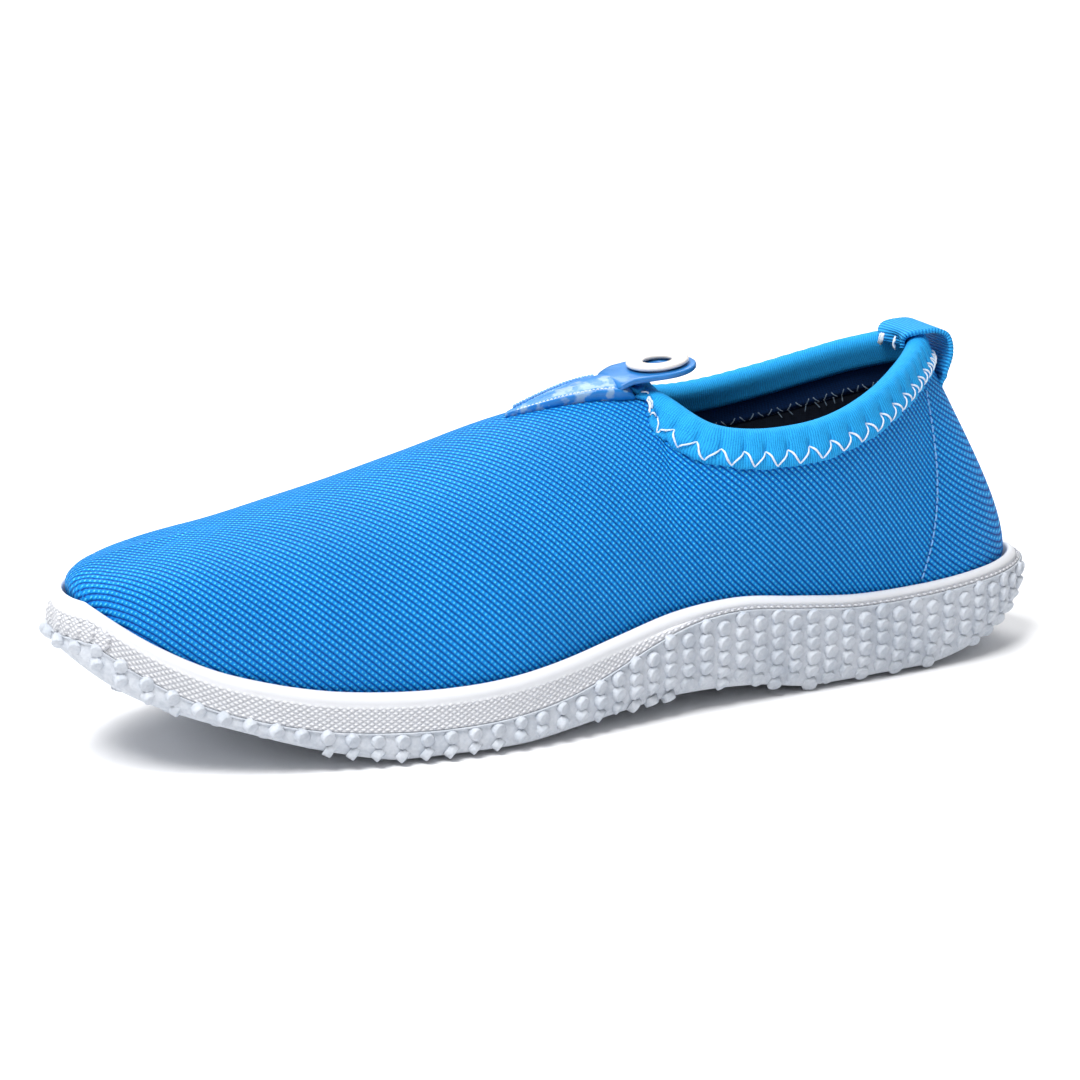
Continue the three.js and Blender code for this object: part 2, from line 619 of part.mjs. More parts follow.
// A place on the inside of the collar's back, share 0..1 across the webbing.
function insideSpot(share, depth, lift) {
  const angle = THREE.MathUtils.lerp(LOOP.fromAngle, LOOP.toAngle, share);
  const frame = collarFrame(angle > 1 ? angle - 2 : angle);
  return collarSpot(frame, depth, LINING.inner - 1.9 * BINDING.clearance - BINDING.thickness - lift);
}

// The end that is sewn flat to the inside of the collar.
function loopInnerEnd() {
  const patch = weld(new ParametricGeometry((a, b, target) => {
    target.copy(insideSpot(b, THREE.MathUtils.lerp(-1, LOOP.innerLength, a), 2 * GAP));
  }, 5, 6));
  return thicken(facingAwayFrom(patch, INSIDE), -LOOP.thickness, 0);
}

// The end that is sewn to the outside of the heel.
function loopOuterEnd() {
  const { y, width, thickness, outerTop, outerLength } = LOOP;
  const patch = weld(new ParametricGeometry((a, b, target) => {
    const from = new THREE.Vector3(COLLAR_BACK_X + 10, y + (b - 0.5) * width, outerTop - a * outerLength);
    target.copy(onUpper(from, FABRIC.outer + GAP));
  }, 4, 6));
  return thicken(facingAwayFrom(patch, INSIDE), 0, thickness);
}

// A bar of close stitches across the loop's inner end.
function loopTack() {
  const patch = weld(new ParametricGeometry((a, b, target) => {
    target.copy(insideSpot(0.1 + 0.8 * b, 3 + a, LOOP.thickness + 3 * GAP));
  }, 1, 8));
  return thicken(facingAwayFrom(patch, INSIDE), -2 * THREAD_RADIUS, 0);
}

// ---- the shoe ----------------------------------------------------------------------------------
const shoe = new THREE.Group();

function add(name, geometry, material) {
  const piece = new THREE.Mesh(geometry, material);
  piece.name = name;
  shoe.add(piece);
  return piece;
}

const boardAbove = OUTSOLE_FLOOR + CUP_FLOOR + 2 * GAP;
const foamAbove = boardAbove + BOARD_THICKNESS + GAP;
const sockAbove = foamAbove + FOAM_THICKNESS + GAP;

add('outsole', outsole(), rubber());
add('sole_cup', soleCup(), rubber());
add('insole_board', insoleLayer(boardAbove, BOARD_THICKNESS, CUP_INSET), darkCloth());
add('footbed_foam', insoleLayer(foamAbove, FOAM_THICKNESS, CUP_INSET + 1.5), darkCloth());
add('footbed_sock', insoleLayer(sockAbove, SOCK_THICKNESS, CUP_INSET + 1.7), darkCloth());
add('vamp', vamp(), mesh());
add('heel_panel', heelPanel(), mesh());
add('lining', lining(), darkCloth());
add('collar_binding', collarBinding(), knit());
add('collar_zigzag', collarZigzag(), thread());
add('throat_tack_medial', throatTack(-1), thread());
add('throat_tack_lateral', throatTack(1), thread());
add('heel_seam_medial', heelSeamThread(-1), thread());
add('heel_seam_lateral', heelSeamThread(1), thread());
add('badge', badge(), badgePlastic());
add('badge_stitch_medial', badgeThread(-1), thread());
add('badge_stitch_lateral', badgeThread(1), webbing());
add('pull_tab', pullTab(), badgePlastic());
add('tab_ring', tabRing(), finish('#f4f3f1', 0.3));
add('heel_loop', heelLoop(), webbing());
add('loop_inner_end', loopInnerEnd(), webbing());
add('loop_outer_end', loopOuterEnd(), webbing());
add('loop_tack', loopTack(), thread());

// The frame's origin is under the middle of the whole shoe, on the ground.
const box = new THREE.Box3().setFromObject(shoe);
shoe.position.set(-(box.min.x + box.max.x) / 2, -(box.min.y + box.max.y) / 2, -box.min.z);
shoe.updateMatrixWorld(true);

export default shoe;
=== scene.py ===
"""A low-cut slip-on water shoe for the right foot: woven upper, knit binding, knobbly wrapped sole."""
import logging
import math
import random
from collections.abc import Callable, Sequence
from dataclasses import dataclass
from enum import Enum

import bmesh
import bpy
import numpy as np
from mathutils import Matrix, Vector
from mathutils.bvhtree import BVHTree
from mathutils.interpolate import poly_3d_calc


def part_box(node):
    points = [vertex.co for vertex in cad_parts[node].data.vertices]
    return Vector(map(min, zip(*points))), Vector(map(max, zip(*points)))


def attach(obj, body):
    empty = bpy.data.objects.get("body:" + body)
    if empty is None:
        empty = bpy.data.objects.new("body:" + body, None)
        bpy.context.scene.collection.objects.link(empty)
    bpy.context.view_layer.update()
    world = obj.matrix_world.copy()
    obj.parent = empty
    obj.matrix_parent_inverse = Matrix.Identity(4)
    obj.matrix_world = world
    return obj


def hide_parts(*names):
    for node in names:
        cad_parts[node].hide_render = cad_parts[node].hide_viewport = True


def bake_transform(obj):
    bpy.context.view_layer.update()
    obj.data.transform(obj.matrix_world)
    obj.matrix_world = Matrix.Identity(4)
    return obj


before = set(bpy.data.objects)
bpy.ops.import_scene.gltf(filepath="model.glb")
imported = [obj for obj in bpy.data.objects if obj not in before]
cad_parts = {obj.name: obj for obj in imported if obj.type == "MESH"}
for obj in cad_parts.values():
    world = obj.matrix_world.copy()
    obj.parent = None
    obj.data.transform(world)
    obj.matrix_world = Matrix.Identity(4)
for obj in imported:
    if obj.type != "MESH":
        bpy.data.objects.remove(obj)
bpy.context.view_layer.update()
LOG = logging.getLogger("water_shoe")
MM = 0.001
Array = np.ndarray
Height = Callable[[Array], Array]


class Side(Enum):
    """The two sides of a right shoe."""

    MEDIAL = -1
    LATERAL = 1


class Body(Enum):
    """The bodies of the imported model."""

    SHOE = "shoe"
    TAB = "tab"
    LOOP = "loop"


# ---- curves and the last -------------------------------------------------------------------------
class Smooth:
    """A smooth function through (x, y) knots, constant past both ends."""

    def __init__(self, *knots: tuple[float, float]) -> None:
        """Keep the knots and work out a slope at each."""
        self.x, self.y = np.array(knots, float).T
        before = np.r_[0, np.arange(len(self.x) - 1)]
        after = np.r_[np.arange(1, len(self.x)), len(self.x) - 1]
        self.slope = (self.y[after] - self.y[before]) / (self.x[after] - self.x[before])

    def __call__(self, x: Array | float) -> Array:
        """The function's value at x."""
        at = np.clip(x, self.x[0], self.x[-1])
        i = np.clip(np.searchsorted(self.x, at) - 1, 0, len(self.x) - 2)
        span = self.x[i + 1] - self.x[i]
        t = (at - self.x[i]) / span
        rise = t * t * (3 - 2 * t)
        bend = t * (1 - t) * span * ((1 - t) * self.slope[i] - t * self.slope[i + 1])
        return self.y[i] * (1 - rise) + self.y[i + 1] * rise + bend


def lerp(a: float, b: float, t: Array | float) -> Array | float:
    """The value that lies a share t of the way from a to b."""
    return a + (b - a) * t


def unit(v: Array) -> Array:
    """Vectors scaled to length 1."""
    return v / np.maximum(np.linalg.norm(v, axis=-1, keepdims=True), 1e-9)


def wrapped(turn: Array | float) -> Array | float:
    """Signed stations or collar angles, brought back into the range -1 to 1."""
    return (turn + 1) % 2 - 1


def running(points: Array) -> Array:
    """How far along a line of points each one lies."""
    return np.r_[0, np.cumsum(np.linalg.norm(np.diff(points, axis=0), axis=1))]


def flat_grid(across: Sequence[float], down: Sequence[float]) -> Array:
    """Flat coordinates of a straight strip, as an array of (column, row, 2)."""
    return np.stack(np.meshgrid(across, down, indexing="ij"), -1)


def between(low: Height, high: Height, share: float, rise: float = 0) -> Height:
    """A height that lies a share of the way from one height to another, and then some."""
    return lambda x: lerp(low(x), high(x), share) + rise


@dataclass
class Last:
    """The form that the whole shoe is laid out on, in millimetres.

    A station runs from 0 at the toe to 1 at the heel. u is a station with a sign, minus on the medial
    side. s runs up a girth curve, from 0 at the sole rim to 1 at the instep line or collar edge.
    """

    half_length: float = 123.5
    centre_x: float = -1.5
    rim_inset: float = 7.5
    tuck_inset: float = 1.6
    tuck_share: float = 0.15
    throat: float = 0.55
    seam: float = 0.765
    seam_lean: float = 0.03
    seam_bow: float = 0.012
    collar_front: float = 21
    collar_back: float = 91
    board_top: float = 7.0
    medial_width: Smooth = Smooth(
        (0, 54), (.1, 49), (.19, 45.5), (.32, 45), (.43, 44), (.56, 34), (.7, 33), (.86, 38), (1, 34))
    lateral_width: Smooth = Smooth(
        (0, 52), (.1, 47), (.19, 43.5), (.32, 43), (.43, 42), (.56, 38), (.7, 36), (.86, 37), (1, 34))
    centre_y: Smooth = Smooth(
        (-118, -9), (-80, -5), (-20, 0), (40, 1), (118, 2))
    rocker: Smooth = Smooth(
        (-125, 27), (-110, 17), (-82, 7), (-66, 2.4), (-54, 0), (-40, -.4), (-24, 0), (-4, 2), (18, 3.6),
        (38, 2.6), (53, 0), (68, -.4), (85, 0), (98, 2.2), (113, 7.5), (123, 13))
    rim_height: Smooth = Smooth(
        (-118, 38), (-106, 30), (-94, 24), (-82, 20.3), (-69, 17.6), (-56, 16.2), (-42, 15.7), (-28, 16.2),
        (-14, 17.9), (2, 21), (18, 24), (34, 24.8), (50, 22.8), (66, 20.9), (84, 20.7), (102, 21.4),
        (117, 21.8))
    lip_depth: Smooth = Smooth(
        (-122, 7.5), (-112, 8), (-90, 8.2), (-40, 8.2), (-10, 7.6), (10, 4.5), (26, 2.4), (60, 2), (118, 2))
    instep_x: Smooth = Smooth(
        (0, -88), (.1, -85), (.2, -75), (.3, -55), (.4, -28), (.5, 4), (.55, 21))
    instep_height: Smooth = Smooth(
        (-88, 46.8), (-78, 48.6), (-59, 52.6), (-39, 57.4), (-20, 62.6), (-5, 66), (8, 68.4), (21, 68.8))
    collar_angle: Smooth = Smooth(
        (.55, 0), (.6, .2), (.66, .44), (.72, .66), (.77, .81), (.85, .91), (1, 1))
    collar_width: Smooth = Smooth(
        (0, 29), (.12, 31), (.22, 30.5), (.33, 27), (.42, 25.5), (.5, 24.8), (.6, 23.2), (.7, 21), (.85, 17),
        (1, 15))
    collar_height: Smooth = Smooth(
        (0, 68.8), (.1, 67.1), (.22, 62.7), (.33, 61.2), (.45, 61.8), (.55, 64), (.65, 67.4), (.75, 71),
        (.88, 74.2), (1, 75.2))
    collar_slope: Smooth = Smooth(
        (0, 0), (.1, 20), (.2156, 48), (.33, 62), (.5, 72), (.7, 74), (.85, 70), (1, 66))
    rim_lean: Smooth = Smooth(
        (0, 62), (.12, 66), (.3, 80), (.45, 84), (.6, 88), (.8, 88), (1, 90))
    rim_fullness: Smooth = Smooth(
        (0, .62), (.3, .55), (.5, .5), (.65, .42), (.8, .3), (1, .22))
    top_fullness: Smooth = Smooth(
        (0, .62), (.25, .6), (.4, .48), (.52, .4), (.65, .36), (.8, .34), (1, .34))

    def __post_init__(self) -> None:
        """Find how far this form's own axes lie from the frame's, from the outsole's box."""
        low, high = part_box("outsole")
        ring = self.outline(np.linspace(-1, 1, 721), 0)
        middle = (low + high) / 2 / MM
        self.shift = np.array([
            middle.x - (ring[:, 0].min() + ring[:, 0].max()) / 2,
            middle.y - (ring[:, 1].min() + ring[:, 1].max()) / 2,
            low.z / MM])

    def bottom(self, x: Array | float) -> Array:
        """Height of the sole's underside, flat where the ball and the heel stand on the ground."""
        return np.maximum(self.rocker(x), 0)

    def lip(self, x: Array | float) -> Array:
        """Height of the top edge of the outsole's wrap."""
        return self.rim_height(x) - self.lip_depth(x)

    def outline(self, u: Array, inset: Array | float, height: Height | None = None) -> Array:
        """Points of the sole's outline.

        Args:
            u: the places, -1 to 1.
            inset: how far in from the outline they lie.
            height: their height as a function of x, or None for 0.

        Returns:
            One row of x, y, z for each place.
        """
        station = np.abs(u)
        side = np.where(u < 0, -1, 1)
        half = np.where(u < 0, self.medial_width(station), self.lateral_width(station)) - inset
        x = self.centre_x - (self.half_length - inset) * np.cos(np.pi * station)
        y = self.centre_y(x) + side * half * np.sin(np.pi * station)
        return np.stack([x, y, np.zeros_like(x) if height is None else height(x)], -1)

    def outward(self, u: Array) -> Array:
        """The horizontal directions that face away from the foot."""
        ahead, behind = (self.outline(wrapped(u + step), self.rim_inset) for step in (1e-3, -1e-3))
        along = ahead - behind
        return unit(np.stack([-along[..., 1], along[..., 0], np.zeros_like(u)], -1))

    def collar(self, angle: Array) -> Array:
        """The collar edge by its own angle: 0 at the throat, 1 and -1 at the back, sign = side."""
        swing = np.abs(angle)
        reach = (self.collar_back - self.collar_front) / 2
        x = self.collar_front + reach * (1 - np.cos(np.pi * swing))
        half = self.collar_width(swing) * np.sin(np.pi * swing)
        return np.stack([x, self.centre_y(x) + np.sign(angle) * half, self.collar_height(swing)], -1)

    def top(self, u: Array) -> Array:
        """The upper end of each girth curve: on the instep line in front, on the collar edge behind."""
        station = np.abs(u)
        x = self.instep_x(station)
        ridge = np.stack([x, self.centre_y(x), self.instep_height(x)], -1)
        edge = self.collar(np.sign(u) * self.collar_angle(station))
        return np.where((station > self.throat)[..., None], edge, ridge)

    def bowed(self, u: Array, s: Array) -> Array:
        """The seams lean and bow backwards, and the girth curves beside them go along with them."""
        station = np.abs(u)
        share = np.where(station < self.seam, (station - self.throat) / (self.seam - self.throat),
                         (1 - station) / (1 - self.seam))
        bow = self.seam_lean * s + 4 * self.seam_bow * s * (1 - s)
        return u + np.sign(u) * np.maximum(share, 0) * np.where(s > 0, bow, 0)

    def upper(self, along: Array, s: Array) -> Array:
        """Points of the upper's surface.

        Args:
            along: which girth curve, -1 to 1.
            s: how far up it. Below 0 the curve goes down inside the sole rim to the insole board.

        Returns:
            One row of x, y, z for each place.
        """
        u = self.bowed(along, s)
        station = np.abs(u)
        rim, top, out = self.outline(u, self.rim_inset, self.rim_height), self.top(u), self.outward(u)
        height = top[..., 2] - rim[..., 2]
        width = np.hypot(top[..., 0] - rim[..., 0], top[..., 1] - rim[..., 1])
        lean = np.radians(self.rim_lean(station))
        rise = out * np.cos(lean)[..., None]
        rise[..., 2] = np.sin(lean)
        slope = np.radians(self.collar_slope(self.collar_angle(np.maximum(station, self.throat))))
        ahead = (self.instep_height(top[..., 0] + 1) - self.instep_height(top[..., 0] - 1)) / 2
        fall = out * np.cos(slope)[..., None]
        fall[..., 2] = ahead * out[..., 0] * np.cos(slope) - np.sin(slope)
        reach = self.top_fullness(station) * (np.cos(slope) * width + np.sin(slope) * height)
        knee = rim + rise * (self.rim_fullness(station) * height)[..., None]
        shoulder = top + fall * reach[..., None]
        t = np.maximum(s, 0)[..., None]
        r = 1 - t
        curve = r ** 3 * rim + 3 * r * r * t * knee + 3 * r * t * t * shoulder + t ** 3 * top
        depth = np.maximum(-s, 0) / self.tuck_share
        tuck = self.outline(u, self.rim_inset + depth * self.tuck_inset)
        low = self.bottom(rim[..., 0]) + self.board_top + 0.3
        tuck[..., 2] = lerp(rim[..., 2], low, depth)
        return np.where((s < 0)[..., None], tuck, curve)


# ---- mesh helpers --------------------------------------------------------------------------------
INSIDE = Vector((-1.5, 0, 25))


def grid(points: Array, cloth: Array | None = None) -> bmesh.types.BMesh:
    """A sheet of quads.

    Args:
        points: its places in millimetres, as an array of (column, row, 3).
        cloth: its own flat coordinates in millimetres, (column, row, 2), or None for shares of its sides.

    Returns:
        The sheet, with a UV layer.
    """
    bm = bmesh.new()
    columns, rows = points.shape[0] - 1, points.shape[1] - 1
    bmesh.ops.create_grid(bm, x_segments=columns, y_segments=rows, size=1)
    corners = np.array([v.co[:2] for v in bm.verts])
    i, j = np.rint((corners + 1) / 2 * (columns, rows)).astype(int).T
    flat = np.stack([i / columns, j / rows], -1) if cloth is None else cloth[i, j]
    layer = bm.loops.layers.uv.new("cloth")
    for face in bm.faces:
        for loop in face.loops:
            loop[layer].uv = flat[loop.vert.index]
    for vert, point in zip(bm.verts, points[i, j]):
        vert.co = point
    return bm


def merge(bm: bmesh.types.BMesh, other: bmesh.types.BMesh) -> None:
    """Add another shape to a shape, and free the other."""
    mesh = bpy.data.meshes.new("part")
    other.to_mesh(mesh)
    other.free()
    bm.from_mesh(mesh)
    bpy.data.meshes.remove(mesh)


def stand(name: str, data: bpy.types.ID) -> bpy.types.Object:
    """A new object of the scene."""
    made = bpy.data.objects.new(name, data)
    bpy.context.scene.collection.objects.link(made)
    return made


def weld(bm: bmesh.types.BMesh, distance: float = 1e-3) -> None:
    """Join points that coincide, and drop the edges and faces that closes up."""
    bmesh.ops.remove_doubles(bm, verts=bm.verts, dist=distance)
    bmesh.ops.dissolve_degenerate(bm, edges=bm.edges, dist=1e-5)


def face_away(bm: bmesh.types.BMesh, behind: Vector = INSIDE) -> None:
    """Turn an open sheet so that its faces look away from a point."""
    bmesh.ops.recalc_face_normals(bm, faces=bm.faces)
    facing = sum(math.copysign(1, f.normal.dot(f.calc_center_median() - behind)) for f in bm.faces)
    if facing < 0:
        bmesh.ops.reverse_faces(bm, faces=bm.faces)
    bm.normal_update()


def offset(bm: bmesh.types.BMesh, by: Callable[[Vector], float] | float) -> None:
    """Move every point along its normal, by a number or by a function of its place."""
    bm.normal_update()
    moves = [(v, v.normal.copy(), by(v.co) if callable(by) else by) for v in bm.verts]
    for vert, normal, distance in moves:
        vert.co += normal * distance


def close_up(bm: bmesh.types.BMesh) -> None:
    """Weld a closed shell and turn its faces outwards."""
    weld(bm)
    bmesh.ops.recalc_face_normals(bm, faces=bm.faces)
    if bm.calc_volume(signed=True) < 0:
        bmesh.ops.reverse_faces(bm, faces=bm.faces)


def thread_curve(paths: Sequence[Sequence[Vector]], radius: float, sides: int = 2) -> bmesh.types.BMesh:
    """Round threads, in millimetres.

    Args:
        paths: the points that each thread follows.
        radius: of the thread.
        sides: how finely its round section is cut.

    Returns:
        Closed tubes.
    """
    curve = bpy.data.curves.new("thread", "CURVE")
    curve.dimensions = "3D"
    curve.bevel_depth = radius
    curve.bevel_resolution = sides
    curve.use_fill_caps = True
    curve.resolution_u = 3
    for path in paths:
        spline = curve.splines.new("BEZIER")
        spline.bezier_points.add(len(path) - 1)
        for knot, point in zip(spline.bezier_points, path):
            knot.co = point
            knot.handle_left_type = knot.handle_right_type = "AUTO"
    holder = stand("thread", curve)
    bpy.context.view_layer.update()
    mesh = bpy.data.meshes.new_from_object(holder.evaluated_get(bpy.context.evaluated_depsgraph_get()))
    bm = bmesh.new()
    bm.from_mesh(mesh)
    bmesh.ops.remove_doubles(bm, verts=bm.verts, dist=1e-4)
    bpy.data.objects.remove(holder)
    bpy.data.curves.remove(curve)
    bpy.data.meshes.remove(mesh)
    return bm


class Workshop:
    """Turns millimetre shapes into finished pieces of the scene."""

    COLUMNS = 260
    ROWS = 60

    def __init__(self, last: Last) -> None:
        """Keep the last, and build the surface that other pieces lie on."""
        self.last = last
        u = np.linspace(-1, 1, self.COLUMNS + 1)
        s = np.linspace(-last.tuck_share, 1, self.ROWS + 1)
        self.skin = grid(last.upper(*np.meshgrid(u, s, indexing="ij")))
        weld(self.skin)
        face_away(self.skin)
        bmesh.ops.triangulate(self.skin, faces=self.skin.faces)
        self.skin.faces.ensure_lookup_table()
        self.tree = BVHTree.FromBMesh(self.skin)

    def on_upper(self, point: Vector, lift: float) -> Vector:
        """The nearest place on the upper, lifted off it by a distance."""
        near, _, index, _ = self.tree.find_nearest(Vector(point))
        corners = self.skin.faces[index].verts
        weights = poly_3d_calc([v.co for v in corners], near)
        normal = sum((v.normal * w for v, w in zip(corners, weights)), Vector())
        return near + normal.normalized() * lift

    def lay(self, points: Array, lifts: Array | float) -> Array:
        """Many places at once on the upper, each with its lift."""
        lifts = np.broadcast_to(lifts, len(points))
        return np.array([self.on_upper(Vector(p), float(h)) for p, h in zip(points, lifts)])

    def piece(self, name: str, bm: bmesh.types.BMesh, material: bpy.types.Material, slot: str,
              body: Body = Body.SHOE, replaces: Sequence[str] = (), rides: bool = True) -> bpy.types.Object:
        """Make a shape an object of the scene.

        Args:
            name: the piece's name.
            bm: its shape in millimetres, in the last's axes.
            material: its finish.
            slot: not used.
            body: the body it moves with.
            replaces: the CAD nodes that it stands for.
            rides: False to leave it attached to no body.

        Returns:
            The finished object.
        """
        bmesh.ops.translate(bm, verts=bm.verts, vec=Vector(self.last.shift))
        bmesh.ops.scale(bm, verts=bm.verts, vec=Vector((MM, MM, MM)))
        mesh = bpy.data.meshes.new(name)
        bm.to_mesh(mesh)
        bm.free()
        mesh.polygons.foreach_set("use_smooth", [True] * len(mesh.polygons))
        mesh.materials.append(material)
        made = stand(name, mesh)
        if rides:
            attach(made, body.value)
        if replaces:
            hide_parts(*replaces)
        LOG.info("%s: %d faces, %.4f square metres", name, len(mesh.polygons),
                 sum(face.area for face in mesh.polygons))
        return made


def shell(piece: bpy.types.Object, thickness: float) -> None:
    """Give a sheet a thickness towards its inner side, in millimetres."""
    solid = piece.modifiers.new("thickness", "SOLIDIFY")
    solid.thickness = thickness * MM
    solid.offset = -1


# ---- finishes ------------------------------------------------------------------------------------
Socket = bpy.types.NodeSocket
Value = Socket | float


class Nodes:
    """A node tree, with short calls that add nodes and join them."""

    def __init__(self, tree: bpy.types.NodeTree) -> None:
        """Keep the tree."""
        self.tree = tree

    def add(self, kind: str, *inputs: Value, **settings: object) -> bpy.types.Node:
        """Add a node.

        Args:
            kind: the node's type.
            inputs: values or sockets for its first inputs, in order.
            settings: its attributes, and inputs by name.

        Returns:
            The node.
        """
        node = self.tree.nodes.new(kind)
        for key, value in settings.items():
            if hasattr(node, key):
                setattr(node, key, value)
            else:
                self.feed(node.inputs[key.replace("_", " ")], value)
        for socket, value in zip(node.inputs, inputs):
            self.feed(socket, value)
        return node

    def feed(self, socket: Socket, value: Value) -> None:
        """Join a socket to a socket, or set it to a number or colour."""
        if isinstance(value, bpy.types.NodeSocket):
            self.tree.links.new(value, socket)
        else:
            socket.default_value = value


class Dye(Nodes):
    """A material's nodes, round one Principled shader."""

    def __init__(self, name: str) -> None:
        """Start a material."""
        self.material = bpy.data.materials.new(name)
        self.material.use_nodes = True
        super().__init__(self.material.node_tree)
        self.shader = self.tree.nodes["Principled BSDF"]

    def set(self, **values: Value) -> None:
        """Set or join the shader's inputs; an underscore in a name stands for a space."""
        for key, value in values.items():
            self.feed(self.shader.inputs[key.replace("_", " ")], value)

    def math(self, operation: str, *inputs: Value) -> Socket:
        """A Math node's result."""
        return self.add("ShaderNodeMath", *inputs, operation=operation).outputs[0]

    def flat(self) -> tuple[Socket, Socket]:
        """The cloth's own flat coordinates, in millimetres."""
        source = self.add("ShaderNodeUVMap", uv_map="cloth").outputs[0]
        split = self.add("ShaderNodeSeparateXYZ", source).outputs
        return split[0], split[1]

    def wave(self, along: Value, pitch: float, phase: float = 0) -> Socket:
        """A cosine wave of the given pitch, from 0 to 1."""
        turn = self.math("MULTIPLY_ADD", along, 2 * math.pi / pitch, phase)
        return self.math("MULTIPLY_ADD", self.math("COSINE", turn), 0.5, 0.5)

    def noise(self, scale: float, detail: float = 2, vector: Socket | None = None) -> Socket:
        """Noise of so many cells a metre, in object space unless a vector is given."""
        where = vector or self.add("ShaderNodeTexCoord").outputs["Object"]
        return self.add("ShaderNodeTexNoise", Vector=where, Scale=scale, Detail=detail).outputs[0]

    def ramp(self, factor: Socket, *stops: tuple[float, Sequence[float]]) -> Socket:
        """Colours by a factor, through (position, colour) stops."""
        node = self.add("ShaderNodeValToRGB", factor)
        steps = node.color_ramp.elements
        while len(steps) < len(stops):
            steps.new(0.5)
        for step, (position, colour) in zip(steps, stops):
            step.position = position
            step.color = (*colour, 1)
        return node.outputs[0]

    def mix(self, factor: Value, first: Value, second: Value, blend: str = "MIX") -> Socket:
        """Two colours mixed."""
        node = self.add("ShaderNodeMix", data_type="RGBA", blend_type=blend)
        for socket, value in zip((node.inputs[0], node.inputs[6], node.inputs[7]), (factor, first, second)):
            self.feed(socket, (*value, 1) if isinstance(value, tuple) and len(value) == 3 else value)
        return node.outputs[2]

    def bump(self, height: Socket, depth: float, strength: float = 1, under: Socket | None = None) -> Socket:
        """A bump normal.

        Args:
            height: from 0 to 1.
            depth: what 1 stands for, in millimetres.
            strength: how much of it shows.
            under: a normal that this one lies on.

        Returns:
            The normal.
        """
        node = self.add("ShaderNodeBump", Strength=strength, Distance=depth * MM, Height=height)
        if under:
            self.feed(node.inputs["Normal"], under)
        return node.outputs[0]


@dataclass(frozen=True)
class Weave:
    """The upper's woven mesh: two families of raised threads on the bias, with pits between them, coloured
    with painted shade in the pits and a painted highlight on the crests.
    """

    name: str
    pitch: float = 1.14
    pit_shade: tuple = (0.0, 0.045, 0.30)
    ground: tuple = (0.001, 0.25, 0.74)
    crest_highlight: tuple = (0.10, 0.70, 1.0)

    def make(self) -> bpy.types.Material:
        """Build the material."""
        dye = Dye(self.name)
        u, v = dye.flat()
        wobble = dye.noise(900, 2)
        u = dye.math("MULTIPLY_ADD", wobble, 0.22, u)
        warp = dye.wave(dye.math("ADD", u, v), self.pitch * math.sqrt(2))
        weft = dye.wave(dye.math("SUBTRACT", u, v), self.pitch * math.sqrt(2))
        ridge = dye.math("POWER", warp, 0.55)
        node = dye.math("MULTIPLY", dye.math("MULTIPLY", ridge, weft), 0.5)
        height = dye.math("MULTIPLY_ADD", ridge, 0.5, node)
        fibre = dye.noise(4200, 3)
        height = dye.math("MULTIPLY_ADD", dye.math("SUBTRACT", fibre, 0.5), 0.42, height)
        # Painted light: the colour follows the threads' height, with painted shade in the pits and a painted
        # highlight on the crests.
        colour = dye.ramp(height, (0.1, self.pit_shade), (0.4, self.ground), (0.74, self.ground), (1.0, self.crest_highlight))
        cloud = dye.ramp(dye.noise(45, 3), (0.3, (0.86, 0.88, 0.9)), (0.7, (1, 1, 1)))
        dye.set(Base_Color=dye.mix(1.0, colour, cloud, "MULTIPLY"), Roughness=0.62, Sheen_Weight=0.06,
                Sheen_Roughness=0.4, Sheen_Tint=(0.2, 0.7, 1, 1), Specular_IOR_Level=0.16,
                Normal=dye.bump(height, 0.45))
        return dye.material


@dataclass(frozen=True)
class Knit:
    """The binding's fine elastic knit: close ribs along the band, drawn in by the stitches."""

    name: str
    ground: tuple = (0.002, 0.17, 0.50)
    crest_highlight: tuple = (0.02, 0.40, 0.84)
    rib: float = 0.52

    def make(self) -> bpy.types.Material:
        """Build the material."""
        dye = Dye(self.name)
        u, v = dye.flat()
        wobble = dye.math("MULTIPLY", dye.noise(260, 3), 1.1)
        rib = dye.wave(dye.math("ADD", u, wobble), self.rib)
        purl = dye.wave(dye.math("ADD", v, dye.math("MULTIPLY", rib, 0.2)), self.rib * 0.62)
        fluff = dye.noise(3600, 4)
        height = dye.math("MULTIPLY_ADD", rib, 0.4, dye.math("MULTIPLY", purl, 0.25))
        height = dye.math("MULTIPLY_ADD", fluff, 0.6, height)
        # Painted highlight: the colour follows the knit's height and is lighter on the raised ribs, with
        # random fluff tone mixed in.
        colour = dye.ramp(height, (0.25, self.ground), (0.8, self.crest_highlight))
        dye.set(Base_Color=colour, Roughness=0.78, Sheen_Weight=0.1, Sheen_Roughness=0.35,
                Sheen_Tint=(0.2, 0.7, 1, 1), Specular_IOR_Level=0.2, Normal=dye.bump(height, 0.16))
        return dye.material


@dataclass(frozen=True)
class DarkCloth:
    """Brushed lining cloth, near-black navy, with a fine knit grain."""

    name: str
    ground: tuple = (0.002, 0.004, 0.010)
    crest_highlight: tuple = (0.006, 0.012, 0.028)

    def make(self) -> bpy.types.Material:
        """Build the material."""
        dye = Dye(self.name)
        u, v = dye.flat()
        grain = dye.math("MULTIPLY_ADD", dye.wave(u, 0.6), 0.16, dye.math("MULTIPLY", dye.wave(v, 0.5), 0.16))
        height = dye.math("MULTIPLY_ADD", dye.noise(2400, 3), 0.68, grain)
        # The colour follows the grain's height: mostly random tone, with a faint painted highlight on the
        # raised grain.
        dye.set(Base_Color=dye.ramp(height, (0.3, self.ground), (0.85, self.crest_highlight)), Roughness=0.9,
                Sheen_Weight=0.15, Sheen_Tint=(0.4, 0.55, 0.8, 1), Specular_IOR_Level=0.25,
                Normal=dye.bump(height, 0.12))
        return dye.material


